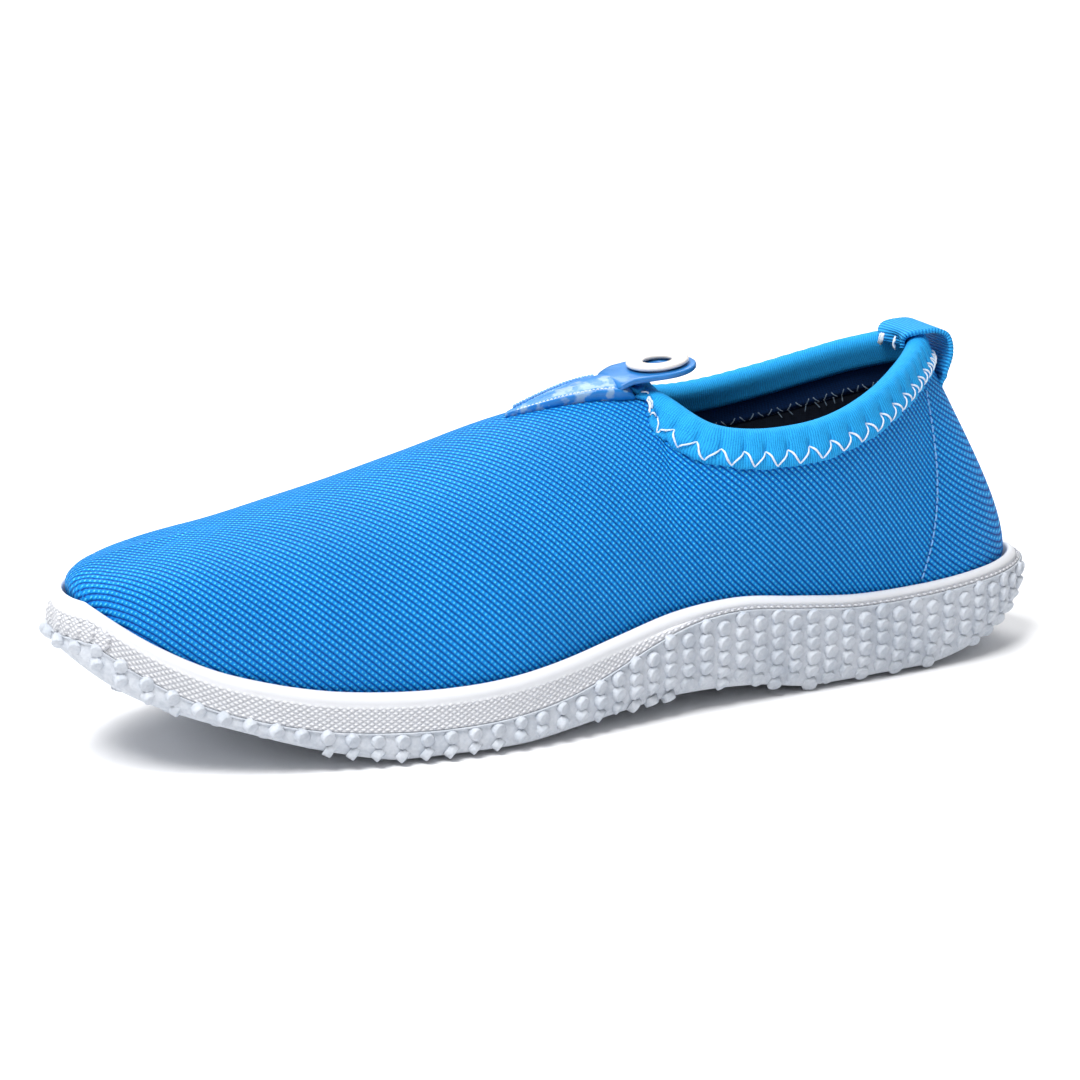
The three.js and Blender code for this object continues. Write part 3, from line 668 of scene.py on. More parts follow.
@dataclass(frozen=True)
class SoleRubber:
    """Matte moulded rubber with a faint mottle."""

    name: str
    # These default greys are darker than the rim rubber: partly a real greyer tone, partly painted shade of
    # the outsole's wall.
    colour: tuple = (0.58, 0.61, 0.66)
    shade: tuple = (0.46, 0.50, 0.56)

    def make(self) -> bpy.types.Material:
        """Build the material."""
        dye = Dye(self.name)
        grain = dye.noise(1500, 5)
        broad = dye.math("MULTIPLY", dye.noise(160, 4), 0.5)
        mottle = dye.math("MULTIPLY_ADD", dye.noise(900, 3), 0.5, broad)
        colour = dye.ramp(mottle, (0.36, self.shade), (0.6, self.colour))
        dye.set(Base_Color=colour, Roughness=0.6, Specular_IOR_Level=0.35, Normal=dye.bump(grain, 0.2))
        return dye.material


@dataclass(frozen=True)
class RimRubber:
    """The rim's white rubber: smooth on the bead, a fine diamond texture on the band below it, with painted
    shade in the diamonds' valleys.
    """

    name: str
    colour: tuple = (0.73, 0.74, 0.77)
    valley_shade: tuple = (0.46, 0.47, 0.51)
    pitch: float = 1.15

    def make(self) -> bpy.types.Material:
        """Build the material."""
        dye = Dye(self.name)
        u, v = dye.flat()
        skew = dye.math("MULTIPLY", v, 1.5)
        first = dye.wave(dye.math("ADD", u, skew), self.pitch * 1.55)
        second = dye.wave(dye.math("SUBTRACT", u, skew), self.pitch * 1.55)
        diamond = dye.math("MULTIPLY", dye.math("POWER", first, 0.6), dye.math("POWER", second, 0.6))
        band = dye.add("ShaderNodeMapRange", v, 0.1, 0.9).outputs[0]
        height = dye.math("MULTIPLY", diamond, band)
        # Painted shade: the band's colour darkens into the diamonds' valleys.
        shade = dye.math("SUBTRACT", 1.0, dye.math("MULTIPLY", dye.math("SUBTRACT", 1.0, diamond), band))
        colour = dye.ramp(shade, (0.0, self.valley_shade), (0.75, self.colour))
        low = dye.bump(dye.noise(500, 3), 0.05, 0.6)
        dye.set(Base_Color=colour, Roughness=0.5, Specular_IOR_Level=0.45, Subsurface_Weight=0.06,
                Subsurface_Radius=(0.003, 0.003, 0.003), Normal=dye.bump(height, 0.3, 1, low))
        return dye.material


@dataclass(frozen=True)
class Thread:
    """Twisted polyester sewing thread."""

    name: str
    colour: tuple = (0.83, 0.88, 0.93)
    shade: tuple = (0.5, 0.66, 0.85)

    def make(self) -> bpy.types.Material:
        """Build the material."""
        dye = Dye(self.name)
        fibre = dye.noise(4200, 3)
        dye.set(Base_Color=dye.ramp(fibre, (0.3, self.shade), (0.6, self.colour)), Roughness=0.6,
                Sheen_Weight=0.3, Normal=dye.bump(fibre, 0.12))
        return dye.material


@dataclass(frozen=True)
class Webbing:
    """Grosgrain webbing: ribs across its width, and a tight selvedge."""

    name: str
    ground: tuple = (0.002, 0.16, 0.50)
    crest_highlight: tuple = (0.03, 0.42, 0.86)
    rib: float = 0.85

    def make(self) -> bpy.types.Material:
        """Build the material."""
        dye = Dye(self.name)
        u, v = dye.flat()
        rib = dye.wave(dye.math("MULTIPLY_ADD", dye.noise(700, 2), 0.2, v), self.rib)
        cross = dye.wave(u, 0.5)
        height = dye.math("MULTIPLY_ADD", rib, 0.65, dye.math("MULTIPLY", cross, 0.2))
        height = dye.math("MULTIPLY_ADD", dye.noise(4200, 3), 0.25, height)
        # Painted highlight: the colour follows the webbing's height and is lighter on the raised ribs, with
        # some random fibre tone.
        colour = dye.ramp(height, (0.2, self.ground), (0.85, self.crest_highlight))
        dye.set(Base_Color=colour, Roughness=0.7, Sheen_Weight=0.1, Sheen_Roughness=0.35,
                Sheen_Tint=(0.2, 0.7, 1, 1), Specular_IOR_Level=0.2, Normal=dye.bump(height, 0.26))
        return dye.material


@dataclass(frozen=True)
class SoftPlastic:
    """Soft moulded plastic, slightly translucent, with a cloudy printed pattern of no meaning."""

    name: str
    colour: tuple = (0.05, 0.22, 0.62)
    cloud: tuple = (0.42, 0.5, 0.62)
    pattern: float = 0.0
    roughness: float = 0.3

    def make(self) -> bpy.types.Material:
        """Build the material."""
        dye = Dye(self.name)
        grain = dye.noise(240, 2)
        shade = tuple(0.82 * c for c in self.colour)
        colour = dye.ramp(dye.noise(110, 3), (0.35, shade), (0.65, self.colour))
        if self.pattern:
            mask = dye.add("ShaderNodeMapRange", dye.noise(300, 3), 0.52, 0.6).outputs[0]
            print_mask = dye.math("MULTIPLY", mask, self.pattern)
            colour = dye.mix(print_mask, colour, self.cloud)
        dye.set(Base_Color=colour, Roughness=self.roughness, Specular_IOR_Level=0.4, Subsurface_Weight=0.1,
                Subsurface_Radius=(0.001, 0.002, 0.004), Coat_Weight=0.1, Coat_Roughness=0.2,
                Normal=dye.bump(grain, 0.1, 0.5))
        return dye.material


class Finishes:
    """Every finish of the shoe, made once."""

    def __init__(self) -> None:
        """Make the materials."""
        self.weave = Weave("woven_mesh").make()
        self.knit = Knit("elastic_knit").make()
        self.lining = DarkCloth("dark_lining").make()
        self.satin = DarkCloth("navy_tape", (0.0, 0.014, 0.07), (0.001, 0.04, 0.16)).make()
        self.sock = DarkCloth("sock_cloth", (0.006, 0.012, 0.026), (0.02, 0.035, 0.07)).make()
        self.sole = SoleRubber("sole_rubber").make()
        self.rim = RimRubber("rim_rubber").make()
        self.foam = SoleRubber("footbed_foam", (0.06, 0.07, 0.09), (0.04, 0.05, 0.07)).make()
        self.board = DarkCloth("insole_board", (0.4, 0.39, 0.36), (0.6, 0.58, 0.54)).make()
        self.thread = Thread("white_thread").make()
        self.blue_thread = Thread("blue_thread", (0.2, 0.5, 0.9), (0.03, 0.2, 0.6)).make()
        self.fray = Thread("frayed_thread", (0.16, 0.22, 0.28), (0.01, 0.06, 0.14)).make()
        self.webbing = Webbing("loop_webbing").make()
        self.badge = SoftPlastic("badge_plastic", (0.006, 0.20, 0.60), (0.26, 0.40, 0.55), 0.8, 0.4).make()
        self.tab = SoftPlastic("tab_plastic", (0.02, 0.20, 0.56)).make()
        self.ring = SoftPlastic("ring_plastic", (0.80, 0.77, 0.74), roughness=0.22).make()


# ---- upper ---------------------------------------------------------------------------------------
@dataclass
class Upper:
    """The woven upper: the vamp, the heel panel, the seams between them, and the dark lining."""

    shop: Workshop
    finishes: Finishes
    fabric_outer: float = 1.5
    fabric_inner: float = 0.3
    lining_outer: float = 0.0
    lining_inner: float = -1.0
    seam_half_gap: float = 0.0008
    columns: int = 300
    heel_columns: int = 90
    lining_columns: int = 240
    rows: int = 72
    weld_distance: float = 0.25
    stitches: int = 22

    def spread(self, u: Array, s: Array, heel: bool) -> tuple[Array, Array]:
        """The cloth's flat coordinates, unrolled over the surface.

        Args:
            u: stations of the sheet's columns, rising.
            s: places up the girth curves, rising.
            heel: True for the heel panel, whose middle is the back of the heel.

        Returns:
            The sheet's points on the last, and their flat coordinates, (column, row, 3) and (column, row, 2).
        """
        columns, rows = np.meshgrid(u, s, indexing="ij")
        points = self.shop.last.upper(wrapped(columns), rows)
        flat_points = points.reshape(-1, 3)
        lifted = self.shop.lay(flat_points, 1.0)
        normal = unit(lifted - self.shop.lay(flat_points, 0.0)).reshape(points.shape)
        if heel:
            level = unit(np.cross((0, 0, 1), normal))
            steep = unit(np.cross(normal, level))
            start = np.abs(u - 1).argmin()
        else:
            steep = unit(np.cross(normal, (1, 0, 0)))
            level = unit(np.cross(steep, normal))
            start = np.abs(u).argmin()
        axes = np.stack([level, steep], -2)
        flat = np.zeros((*points.shape[:2], 2))
        for order in (range(start + 1, len(u)), range(start - 1, -1, -1)):
            for i in order:
                near = i - 1 if i > start else i + 1
                step = points[i, -1] - points[near, -1]
                flat[i, -1] = flat[near, -1] + (axes[i, -1] + axes[near, -1]) / 2 @ step
        for j in range(len(s) - 2, -1, -1):
            step = points[:, j] - points[:, j + 1]
            flat[:, j] = flat[:, j + 1] + np.einsum("ikc,ic->ik", (axes[:, j] + axes[:, j + 1]) / 2, step)
        if not heel:
            self.ease(flat, points, u)
        return points, flat

    def ease(self, flat: Array, points: Array, u: Array) -> None:
        """Spread the shear of the cloth below the throat over the columns to both sides of it."""
        reach = 24
        kernel = np.exp(-np.linspace(-2.2, 2.2, 2 * reach + 1) ** 2)
        kernel /= kernel.sum()
        for side in Side:
            part = np.flatnonzero(u * side.value > 0.3)
            guide = np.stack([points[part, :, 0], -side.value * points[part, :, 2]], -1)
            rest = flat[part] - guide
            padded = np.pad(rest, ((reach, reach), (0, 0), (0, 0)), "edge")
            soft = sum(weight * padded[k:k + len(part)] for k, weight in enumerate(kernel))
            share = np.clip((np.abs(u[part]) - 0.3) / 0.12, 0, 1)[:, None, None]
            flat[part] = guide + lerp(rest, soft, share)

    def panel(self, first: float, final: float, columns: int, heel: bool = False) -> bmesh.types.BMesh:
        """A cloth panel on the last between two stations, as an open sheet that faces outwards."""
        u = np.linspace(first, final, columns + 1)
        s = np.linspace(-self.shop.last.tuck_share, 1, self.rows + 1)
        bm = grid(*self.spread(u, s, heel))
        weld(bm, self.weld_distance)
        face_away(bm)
        return bm

    def strain(self, at: Vector) -> float:
        """Small waves of the stretched cloth: pleats where the toe is drawn in, and a soft quilt."""
        toe = max(0.0, min(1.0, (-98 - at.x) / 16)) * max(0.0, min(1.0, (45 - at.z) / 9))
        pleat = 0.16 * toe * math.sin(at.y * 1.9 + at.z * 0.35)
        return pleat + 0.05 * math.sin(at.x * 0.21 + at.z * 0.13) * math.sin(at.z * 0.17 - at.x * 0.05)

    def vamp(self) -> None:
        """The front panel, from seam to seam round the toe."""
        edge = self.shop.last.seam - self.seam_half_gap
        bm = self.panel(-edge, edge, self.columns)
        offset(bm, lambda at: self.fabric_outer + self.strain(at))
        piece = self.shop.piece("vamp_cloth", bm, self.finishes.weave, "mesh_cloth", replaces=["vamp"])
        shell(piece, self.fabric_outer - self.fabric_inner)

    def heel(self) -> None:
        """The panel round the back of the heel."""
        edge = self.shop.last.seam + self.seam_half_gap
        bm = self.panel(edge, 2 - edge, self.heel_columns, heel=True)
        offset(bm, self.fabric_outer)
        piece = self.shop.piece("heel_cloth", bm, self.finishes.weave, "mesh_cloth", replaces=["heel_panel"])
        shell(piece, self.fabric_outer - self.fabric_inner)

    def lining(self) -> None:
        """The lining, one sheet all the way round."""
        bm = self.panel(-1, 1, self.lining_columns)
        offset(bm, self.lining_outer)
        piece = self.shop.piece("lining_cloth", bm, self.finishes.lining, "lining_cloth", replaces=["lining"])
        shell(piece, self.lining_outer - self.lining_inner)

    def seams(self) -> None:
        """A row of small stitches down each seam between the panels."""
        last = self.shop.last
        for side in Side:
            paths = []
            for k in range(self.stitches):
                ends = []
                for share in (0.12, 0.5, 0.88):
                    s = lerp(0.02, 0.84, (k + share) / self.stitches)
                    spot = last.upper(np.array([side.value * last.seam]), np.array([s]))[0]
                    lift = self.fabric_outer + (0.12 if share == 0.5 else -0.1)
                    ends.append(self.shop.on_upper(spot, lift))
                paths.append(ends)
            name = f"heel_seam_{side.name.lower()}"
            bm = thread_curve(paths, 0.24, 1)
            self.shop.piece(f"{name}_stitches", bm, self.finishes.blue_thread, "thread", replaces=[name])

    def build(self) -> None:
        """Build the whole upper."""
        self.lining()
        self.vamp()
        self.heel()
        self.seams()


# ---- collar --------------------------------------------------------------------------------------
@dataclass
class CollarSpot:
    """A place on the collar edge, with the directions that the binding is laid out along."""

    edge: Vector
    away: Vector
    face: Vector
    along: Vector


@dataclass
class Collar:
    """The knit binding folded over the collar edge, its zigzag stitches and the tape inside."""

    shop: Workshop
    finishes: Finishes
    outer_leg: float = 6.6
    inner_leg: float = 5.0
    crown: float = 2.5
    outside: float = 1.7
    inside: float = -1.3
    thickness: float = 1.1
    around: int = 720
    bites: int = 88
    heel_closeness: float = 0.22
    first_bite: float = 0.085
    high_bite: float = 2.9
    low_bite: float = 6.3
    leg: tuple = ((0, -0.25), (0.12, 0.1), (0.4, 0.38), (0.72, 0.34), (0.92, 0.1), (1, -0.25))
    tape_start: float = 1.0
    tape_lift: float = -1.15
    tape_depth: float = 10.4
    tape_length: float = 205
    tape_bites: int = 96

    def spot(self, angle: float) -> CollarSpot:
        """The frame at an angle of the collar."""
        last, shop = self.shop.last, self.shop
        edge, ahead, behind = (Vector(last.collar(np.array(wrapped(angle + d)))) for d in (0, 0.004, -0.004))
        along = (ahead - behind).normalized()
        face = (shop.on_upper(edge, 1) - shop.on_upper(edge, 0)).normalized()
        away = along.cross(face).normalized()
        mouth = Vector(((last.collar_front + last.collar_back) / 2, edge.y * 0.3, edge.z + 20))
        if away.dot(mouth - edge) > 0:
            away.negate()
        face = (face - away * face.dot(away)).normalized()
        return CollarSpot(edge, away, face, along)

    def near(self, spot: CollarSpot, depth: float, lift: float) -> Vector:
        """A point near the collar: depth down the cloth from the edge, lift away from the last."""
        start = spot.edge + spot.away * depth
        if depth > 0.01:
            return self.shop.on_upper(start, lift)
        return start + spot.face * lift

    def section(self) -> list[tuple[float, float]]:
        """The binding's section as (depth, lift) points, all the way round."""
        out, skin, into = self.outside, self.outside + self.thickness, self.inside - self.thickness
        crown = [(-self.crown * math.sin(t), lerp(into, skin, (1 + math.cos(t)) / 2))
                 for t in np.linspace(0.35, math.pi - 0.35, 9)]
        leg = self.outer_leg
        outer = [(leg, out), (leg + 0.25, out + 0.3), (leg + 0.1, skin - 0.25)]
        outer += [(d, skin) for d in (6.0, 5.2, 4.4, 3.6, 2.8, 2.0, 1.2, 0.5)]
        inner = [(d, into) for d in (0.5, 1.4, 2.4, 3.4, 4.3)]
        inner += [(self.inner_leg + 0.1, into + 0.3), (self.inner_leg, self.inside)]
        back = [(2.5, self.inside), (0.2, self.inside * 0.8), (-0.8, 0), (0.2, out * 0.8), (3, out)]
        return outer + crown + inner + back

    def bite_angle(self, bite: float) -> float:
        """The collar angle of a bite. Bites lie closer together towards the heel."""
        share = bite / self.bites
        eased = share + self.heel_closeness * math.sin(math.tau * share) / math.tau
        return lerp(self.first_bite, 2 - self.first_bite, eased)

    def __post_init__(self) -> None:
        """Tabulate the bites, to be able to look one up by its angle."""
        self.bite_table = np.arange(0, self.bites + 0.01, 0.25)
        self.angle_table = np.array([self.bite_angle(b) for b in self.bite_table])

    def pucker(self, angle: float, depth: float) -> float:
        """How far the stitches draw the knit in, and how far it swells between them."""
        turn = angle % 2
        swing = min(turn, 2 - turn)
        if swing < self.first_bite or depth < -1:
            return 0.1 * math.cos(math.pi * 66 * turn)
        bite = float(np.interp(turn, self.angle_table, self.bite_table))
        high = -math.cos(math.pi * bite)
        dimple = math.exp(-((depth - self.high_bite) / 1.3) ** 2) * max(0.0, high) ** 3
        low = math.exp(-((depth - self.low_bite) / 1.1) ** 2) * (0.35 + 0.65 * max(0.0, -high) ** 2)
        swell = 0.42 * math.exp(-((depth - 4.6) / 1.4) ** 2) * max(0.0, -high)
        crown = 0.22 * math.exp(-(depth / 1.6) ** 2) * high
        return swell - 1.1 * dimple - 0.8 * low - crown

    def binding(self) -> None:
        """The folded knit strip."""
        section = [*self.section(), self.section()[0]]
        spots = [self.spot(-1 + 2 * i / self.around) for i in range(self.around)]
        spots.append(spots[0])
        points = []
        for i, spot in enumerate(spots):
            wander = 0.22 * math.sin(i * 0.21) * math.sin(i * 0.077)
            column = []
            for depth, lift in section:
                wave = self.pucker(-1 + 2 * i / self.around, depth) if lift > self.outside * 0.9 else 0
                column.append(self.near(spot, depth + (wander if depth > 5.5 else 0), lift + wave))
            points.append(column)
        edges = np.array([spot.edge for spot in spots])
        bm = grid(np.array(points), flat_grid(running(edges), running(np.array(section))))
        close_up(bm)
        piece = self.shop.piece("collar_knit", bm, self.finishes.knit, "knit", replaces=["collar_binding"])

    def on_band(self, angle: float, depth: float, lift: float = 0.0) -> Vector:
        """A point on the band's outer face, dimples included."""
        wave = self.pucker(angle, depth)
        return self.near(self.spot(angle), depth, self.outside + self.thickness + wave + lift)

    def zigzag(self) -> None:
        """The white zigzag that holds the band down: slack legs that dive into the knit at each end."""
        paths = []
        for i in range(self.bites):
            low_first = i % 2 == 0
            start, end = (self.low_bite, self.high_bite) if low_first else (self.high_bite, self.low_bite)
            for strand in (-0.16, 0.16):
                path = []
                for part, lift in self.leg:
                    eased = part + 0.07 * math.sin(math.tau * part) * (1 if low_first else -1)
                    angle = self.bite_angle(i + eased)
                    twist = strand * math.sin(math.pi * part) * (1 if low_first else 0.4)
                    path.append(self.on_band(angle, lerp(start, end, part) + twist, lift))
                paths.append(path)
        bm = thread_curve(paths, 0.17, 1)
        self.shop.piece("zigzag_thread", bm, self.finishes.thread, "thread", replaces=["collar_zigzag"])

    def tacks(self) -> None:
        """A few close stitches and a loose tuft that lock the band beside the tab."""
        rng = random.Random(7)
        for side in Side:
            paths = []
            for k in range(3):
                angle = side.value * (0.042 + 0.013 * k)
                paths.append([self.on_band(angle + d, depth + 0.5 * k, lift)
                              for d, depth, lift in ((-0.006, 3.2, 0), (0, 4.0, 0.45), (0.008, 4.9, 0))])
            for _ in range(9):
                angle = side.value * (0.062 + rng.uniform(-0.008, 0.012))
                paths.append([self.on_band(angle + rng.uniform(-0.008, 0.008), 4.4 + 2.2 * t,
                                           0.1 + 0.7 * t * (1 - t)) for t in (0, 0.35, 0.7, 1)])
            name = f"throat_tack_{side.name.lower()}"
            bm = thread_curve(paths, 0.2, 1)
            self.shop.piece(f"{name}_stitches", bm, self.finishes.thread, "thread", replaces=[name])

    def tape(self) -> None:
        """The navy tape inside the collar, below the binding, and the frayed stitches along it."""
        count = 320
        depths = np.linspace(0, self.tape_depth, 9)
        spots = [self.spot(-1 + 2 * i / count) for i in range(count)]
        points = [[self.near(spot, self.tape_start + depth, self.tape_lift) for depth in depths]
                  for spot in (*spots, spots[0])]
        bm = grid(np.array(points), flat_grid(np.linspace(0, self.tape_length, count + 1), depths))
        weld(bm)
        face_away(bm)
        bmesh.ops.reverse_faces(bm, faces=bm.faces)
        piece = self.shop.piece("collar_tape", bm, self.finishes.satin, "lining_cloth")
        shell(piece, 0.25)
        rng = random.Random(3)
        paths = []
        for i in range(self.tape_bites):
            angle = lerp(0.1, 1.9, i / self.tape_bites)
            step = 0.9 / self.tape_bites
            depths = (9.4, 10.9) if i % 2 else (10.9, 9.4)
            paths.append([self.near(self.spot(angle + step * t), lerp(*depths, t),
                                    -1.95 - 0.35 * math.sin(math.pi * t)) for t in (0, 0.5, 1)])
            if rng.random() < 0.45:
                drift = rng.uniform(-0.008, 0.008)
                paths.append([self.near(self.spot(angle + drift * t), 10.8 + 1.6 * t, -1.7 - 0.5 * t)
                              for t in (0, 0.5, 1)])
        bm = thread_curve(paths, 0.13, 1)
        self.shop.piece("collar_tape_stitches", bm, self.finishes.fray, "thread")

    def build(self) -> None:
        """Build everything round the collar."""
        self.binding()
        self.zigzag()
        self.tacks()
        self.tape()


# ---- sole ----------------------------------------------------------------------------------------
@dataclass
class Sole:
    """The wrapped outsole with its knobs, the white rim above it, and the footbed inside."""

    shop: Workshop
    finishes: Finishes
    around: int = 480
    strips: int = 14
    skin: float = 1.0
    floor: float = 3.5
    knob_radius: float = 2.0
    knob_height: float = 1.4
    rows_apart: float = 3.4
    columns_apart: float = 4.85
    columns_apart_front: float = 5.6
    wall_line: float = 1.5
    tread_inset: float = 7.6
    tread_apart: float = 4.8
    tread_rows_apart: float = 5.0
    tread_radius: float = 2.1
    tread_height: float = 1.0

    def base(self, x: Array | float) -> Array:
        """Height of the outsole's bare underside, between the knobs."""
        return self.shop.last.bottom(x) + self.skin

    def ring_body(self, profile: Sequence[tuple[float, Height]], groove: int = 0) -> bmesh.types.BMesh:
        """A shell swept round the sole, closed with a deck at both ends.

        Args:
            profile: (inset, height by x) for each row, from the bottom deck's edge to the top deck's edge.
            groove: the row that the flat coordinates are measured down from.

        Returns:
            The shell, with flat coordinates in millimetres: along the rim, and down from the groove.
        """
        u = np.linspace(-1, 1, self.around + 1)
        rings = np.array([self.shop.last.outline(u, inset, height) for inset, height in profile])
        drops = np.linalg.norm(np.diff(rings, axis=0), axis=2)
        depth = np.vstack([np.zeros(len(u)), np.cumsum(drops, axis=0)])
        cloth = np.stack([np.broadcast_to(running(rings[groove]), depth.shape), depth[groove] - depth], -1)
        bm = grid(rings.swapaxes(0, 1), cloth.swapaxes(0, 1))
        for ring in (profile[0], profile[-1]):
            self.deck(bm, *ring)
        close_up(bm)
        return bm

    def deck(self, bm: bmesh.types.BMesh, inset: float, height: Height) -> None:
        """Close a ring with a deck of facets from side to side, added to a shell."""
        a = np.maximum(np.linspace(0, 1, self.around // 2 + 1), 1e-9)
        left, right = (self.shop.last.outline(side * a, inset)[:, None] for side in (-1, 1))
        points = left + (right - left) * np.linspace(0, 1, self.strips + 1)[:, None]
        points[..., 2] = height(points[..., 0])
        merge(bm, grid(points, np.full((*points.shape[:2], 2), -50.0)))

    def wall(self, u: float) -> list[tuple[Vector, Vector]]:
        """The outsole's bare wall at a place: points and outward normals every half millimetre down."""
        last = self.shop.last
        out = Vector(last.outward(np.array([u]))[0])
        x = float(last.outline(np.array([u]), 0)[0, 0])
        low, lip = float(self.base(x)), float(last.lip(x))
        corners = [(1.75, lip - 0.5), (1.5, lerp(low, lip, 0.75)), (1.3, lerp(low, lip, 0.36)),
                   (2.7, low + 0.25), (5.2, low)]
        line = [Vector(last.outline(np.array([u]), inset)[0]) + Vector((0, 0, z)) for inset, z in corners]
        found = []
        for a, b in zip(line, line[1:]):
            steps = max(1, round((b - a).length / 0.5))
            down = (b - a).normalized()
            normal = out - down * out.dot(down)
            if normal.length < 0.2:
                normal = Vector((0, 0, -1)) + down * down.z
            found += [(a.lerp(b, k / steps), normal.normalized()) for k in range(steps)]
        smooth = []
        for k, (point, _) in enumerate(found):
            around = [n for _, n in found[max(0, k - 3):k + 4]]
            smooth.append((point, sum(around, Vector()).normalized()))
        return smooth

    def knob(self, bm: bmesh.types.BMesh, at: Vector, normal: Vector, cliff: Vector, radius: float,
             height: float, sides: int = 12) -> list[bmesh.types.BMEdge]:
        """Add one knob: a disc that stands up on its cliff side and runs out flush on the other.

        Args:
            bm: the shell it is added to.
            at: its centre on the wall.
            normal: the wall's outward direction there.
            cliff: the direction of its raised side.
            radius: of the disc.
            height: how far the cliff stands out.
            sides: facets round it.

        Returns:
            The edges round its top, to be rounded.
        """
        tilt = math.atan2(height, 2 * radius * 0.94)
        cliff = (cliff - normal * cliff.dot(normal)).normalized()
        up = (normal * math.cos(tilt) - cliff * math.sin(tilt)).normalized()
        slope = (cliff - up * cliff.dot(up)).normalized()
        deep = 2.0
        centre = at + normal * (height / 2 + 0.12) - up * (deep / 2)
        turn = Matrix((slope, up.cross(slope), up)).transposed().to_4x4()
        made = bmesh.ops.create_cone(
            bm, cap_ends=True, segments=sides, radius1=radius * 1.08, radius2=radius * 0.9, depth=deep,
            matrix=Matrix.Translation(centre) @ turn)
        top = sorted(made["verts"], key=lambda v: (v.co - centre).dot(up))[-sides:]
        chosen = set(top)
        return [e for v in top for e in v.link_edges if e.other_vert(v) in chosen and e.verts[0] is v]

    def knobs(self) -> bmesh.types.BMesh:
        """Every knob: staggered columns round the wall, and rows across the underside."""
        last = self.shop.last
        rng = random.Random(11)
        bm = bmesh.new()
        edges: list[bmesh.types.BMEdge] = []
        fine = np.linspace(-1, 1, 2401)
        ring = last.outline(fine, self.wall_line)
        run = running(ring)
        place, column = 0.0, 0
        while place < run[-1] - 2.5:
            u = float(np.interp(place, run, fine))
            x = float(np.interp(place, run, ring[:, 0]))
            front = float(np.clip((8 - x) / 30, 0, 1))
            wall = self.wall(u)
            behind, ahead = last.outline(u + np.array([-0.002, 0.002]), self.wall_line)
            forward = Vector(ahead - behind).normalized()
            toeward = forward * (1 if u < 0 else -1)
            stagger = self.rows_apart / 2 if column % 2 else 0
            down = lerp(1.6 + stagger, 1.9, front)
            while down * 2 < len(wall) - 4:
                at, normal = wall[int(down * 2)]
                up = normal.cross(forward).normalized()
                if up.z < 0:
                    up.negate()
                cliff = toeward * rng.uniform(0.6, 0.75) + up * rng.uniform(0.6, 0.75)
                size = self.knob_radius * rng.uniform(0.9, 1.04) * lerp(1, 0.85, front)
                edges += self.knob(bm, at, normal, cliff, size, self.knob_height * rng.uniform(0.85, 1.05))
                down += self.rows_apart
            place += lerp(self.columns_apart, self.columns_apart_front, front)
            column += 1
        edges += self.tread(bm, rng)
        self.soften(bm, edges, 0.2)
        return bm

    def soften(self, bm: bmesh.types.BMesh, edges: list[bmesh.types.BMEdge], by: float) -> None:
        """Round the edges of the knobs' tops."""
        bmesh.ops.bevel(bm, geom=list(dict.fromkeys(edges)), offset=by, offset_type="OFFSET", segments=2,
                        profile=0.5, affect="EDGES", material=-1)

    def tread(self, bm: bmesh.types.BMesh, rng: random.Random) -> list[bmesh.types.BMEdge]:
        """The knobs of the underside, standing in staggered rows inside the outline."""
        last = self.shop.last
        edges = []
        row = 0
        x = -last.half_length + 12
        while x < last.half_length - 14:
            station = math.acos(max(-1, min(1, -(x - last.centre_x) / (last.half_length - 7)))) / math.pi
            low, high = last.outline(np.array([-station, station]), self.tread_inset)[:, 1].tolist()
            y = low + (self.tread_apart / 2 if row % 2 else 0)
            while y < high:
                slope = float(last.bottom(x + 1) - last.bottom(x - 1)) / 2
                normal = Vector((slope, 0, -1)).normalized()
                at = Vector((x, y, float(self.base(x)) + 0.25))
                cliff = Vector((-1, rng.uniform(-0.2, 0.2), 0))
                edges += self.knob(bm, at, normal, cliff, self.tread_radius, self.tread_height, 10)
                y += self.tread_apart
            x += self.tread_rows_apart
            row += 1
        return edges

    def outsole(self) -> None:
        """The grey wrap: a bare wall with a small lip, and the knobs on it."""
        last = self.shop.last
        rows = [(5.6, 0, 0), (4.4, 0, 0), (3.4, 0, 0.05), (2.7, 0, 0.25), (2.1, 0, 0.7), (1.7, 0.2, 0),
                (1.35, 0.34, 0), (1.3, 0.5, 0), (1.45, 0.7, 0), (1.65, 0.86, 0), (1.6, 1, -0.6),
                (1.25, 1, -0.35), (1.2, 1, -0.12), (1.4, 1, 0), (3.0, 1, 0)]
        profile = [(inset, between(self.base, last.lip, share, rise)) for inset, share, rise in rows]
        profile.append((3.4, lambda x: np.minimum(self.base(x) + 2.2, last.lip(x) - 0.4)))
        bm = self.ring_body(profile)
        merge(bm, self.knobs())
        bm.normal_update()
        self.shop.piece("outsole_wrap", bm, self.finishes.sole, "sole_rubber", replaces=["outsole"])

    def cup(self) -> None:
        """The white rim: a textured band with a smooth bead on top, and scales round the toe."""
        last = self.shop.last
        floor = between(last.bottom, last.lip, 0, self.floor)
        rows = [(3.3, 0, 0.06), (1.75, 0, 0.06), (1.55, 0, 0.21), (1.6, 0, 0.51), (1.8, 0, 0.9),
                (1.95, 0.25, 0.125), (2.1, 0.5, -0.65), (2.3, 0.75, -1.425), (2.55, 1, -2.2), (2.5, 1, -1.9),
                (2.45, 1, -1.4), (2.6, 1, -0.85), (2.95, 1, -0.3), (3.4, 1, 0.12), (3.9, 1, 0.36),
                (4.4, 1, 0.42), (4.8, 1, 0.2), (4.95, 1, -0.4), (5.2, 1, -1.6)]
        profile = [(4.6, lambda x: np.minimum(floor(x), last.lip(x) - 0.1))]
        profile += [(inset, between(last.lip, last.rim_height, share, rise)) for inset, share, rise in rows]
        profile.append((5.7, lambda x: np.minimum(last.rim_height(x) - 6, floor(x) + 6)))
        profile.append((6.8, lambda x: floor(x) + 2))
        bm = self.ring_body(profile, groove=9)
        self.toe_scales(bm)
        self.shop.piece("sole_rim", bm, self.finishes.rim, "rim_rubber", replaces=["sole_cup"])

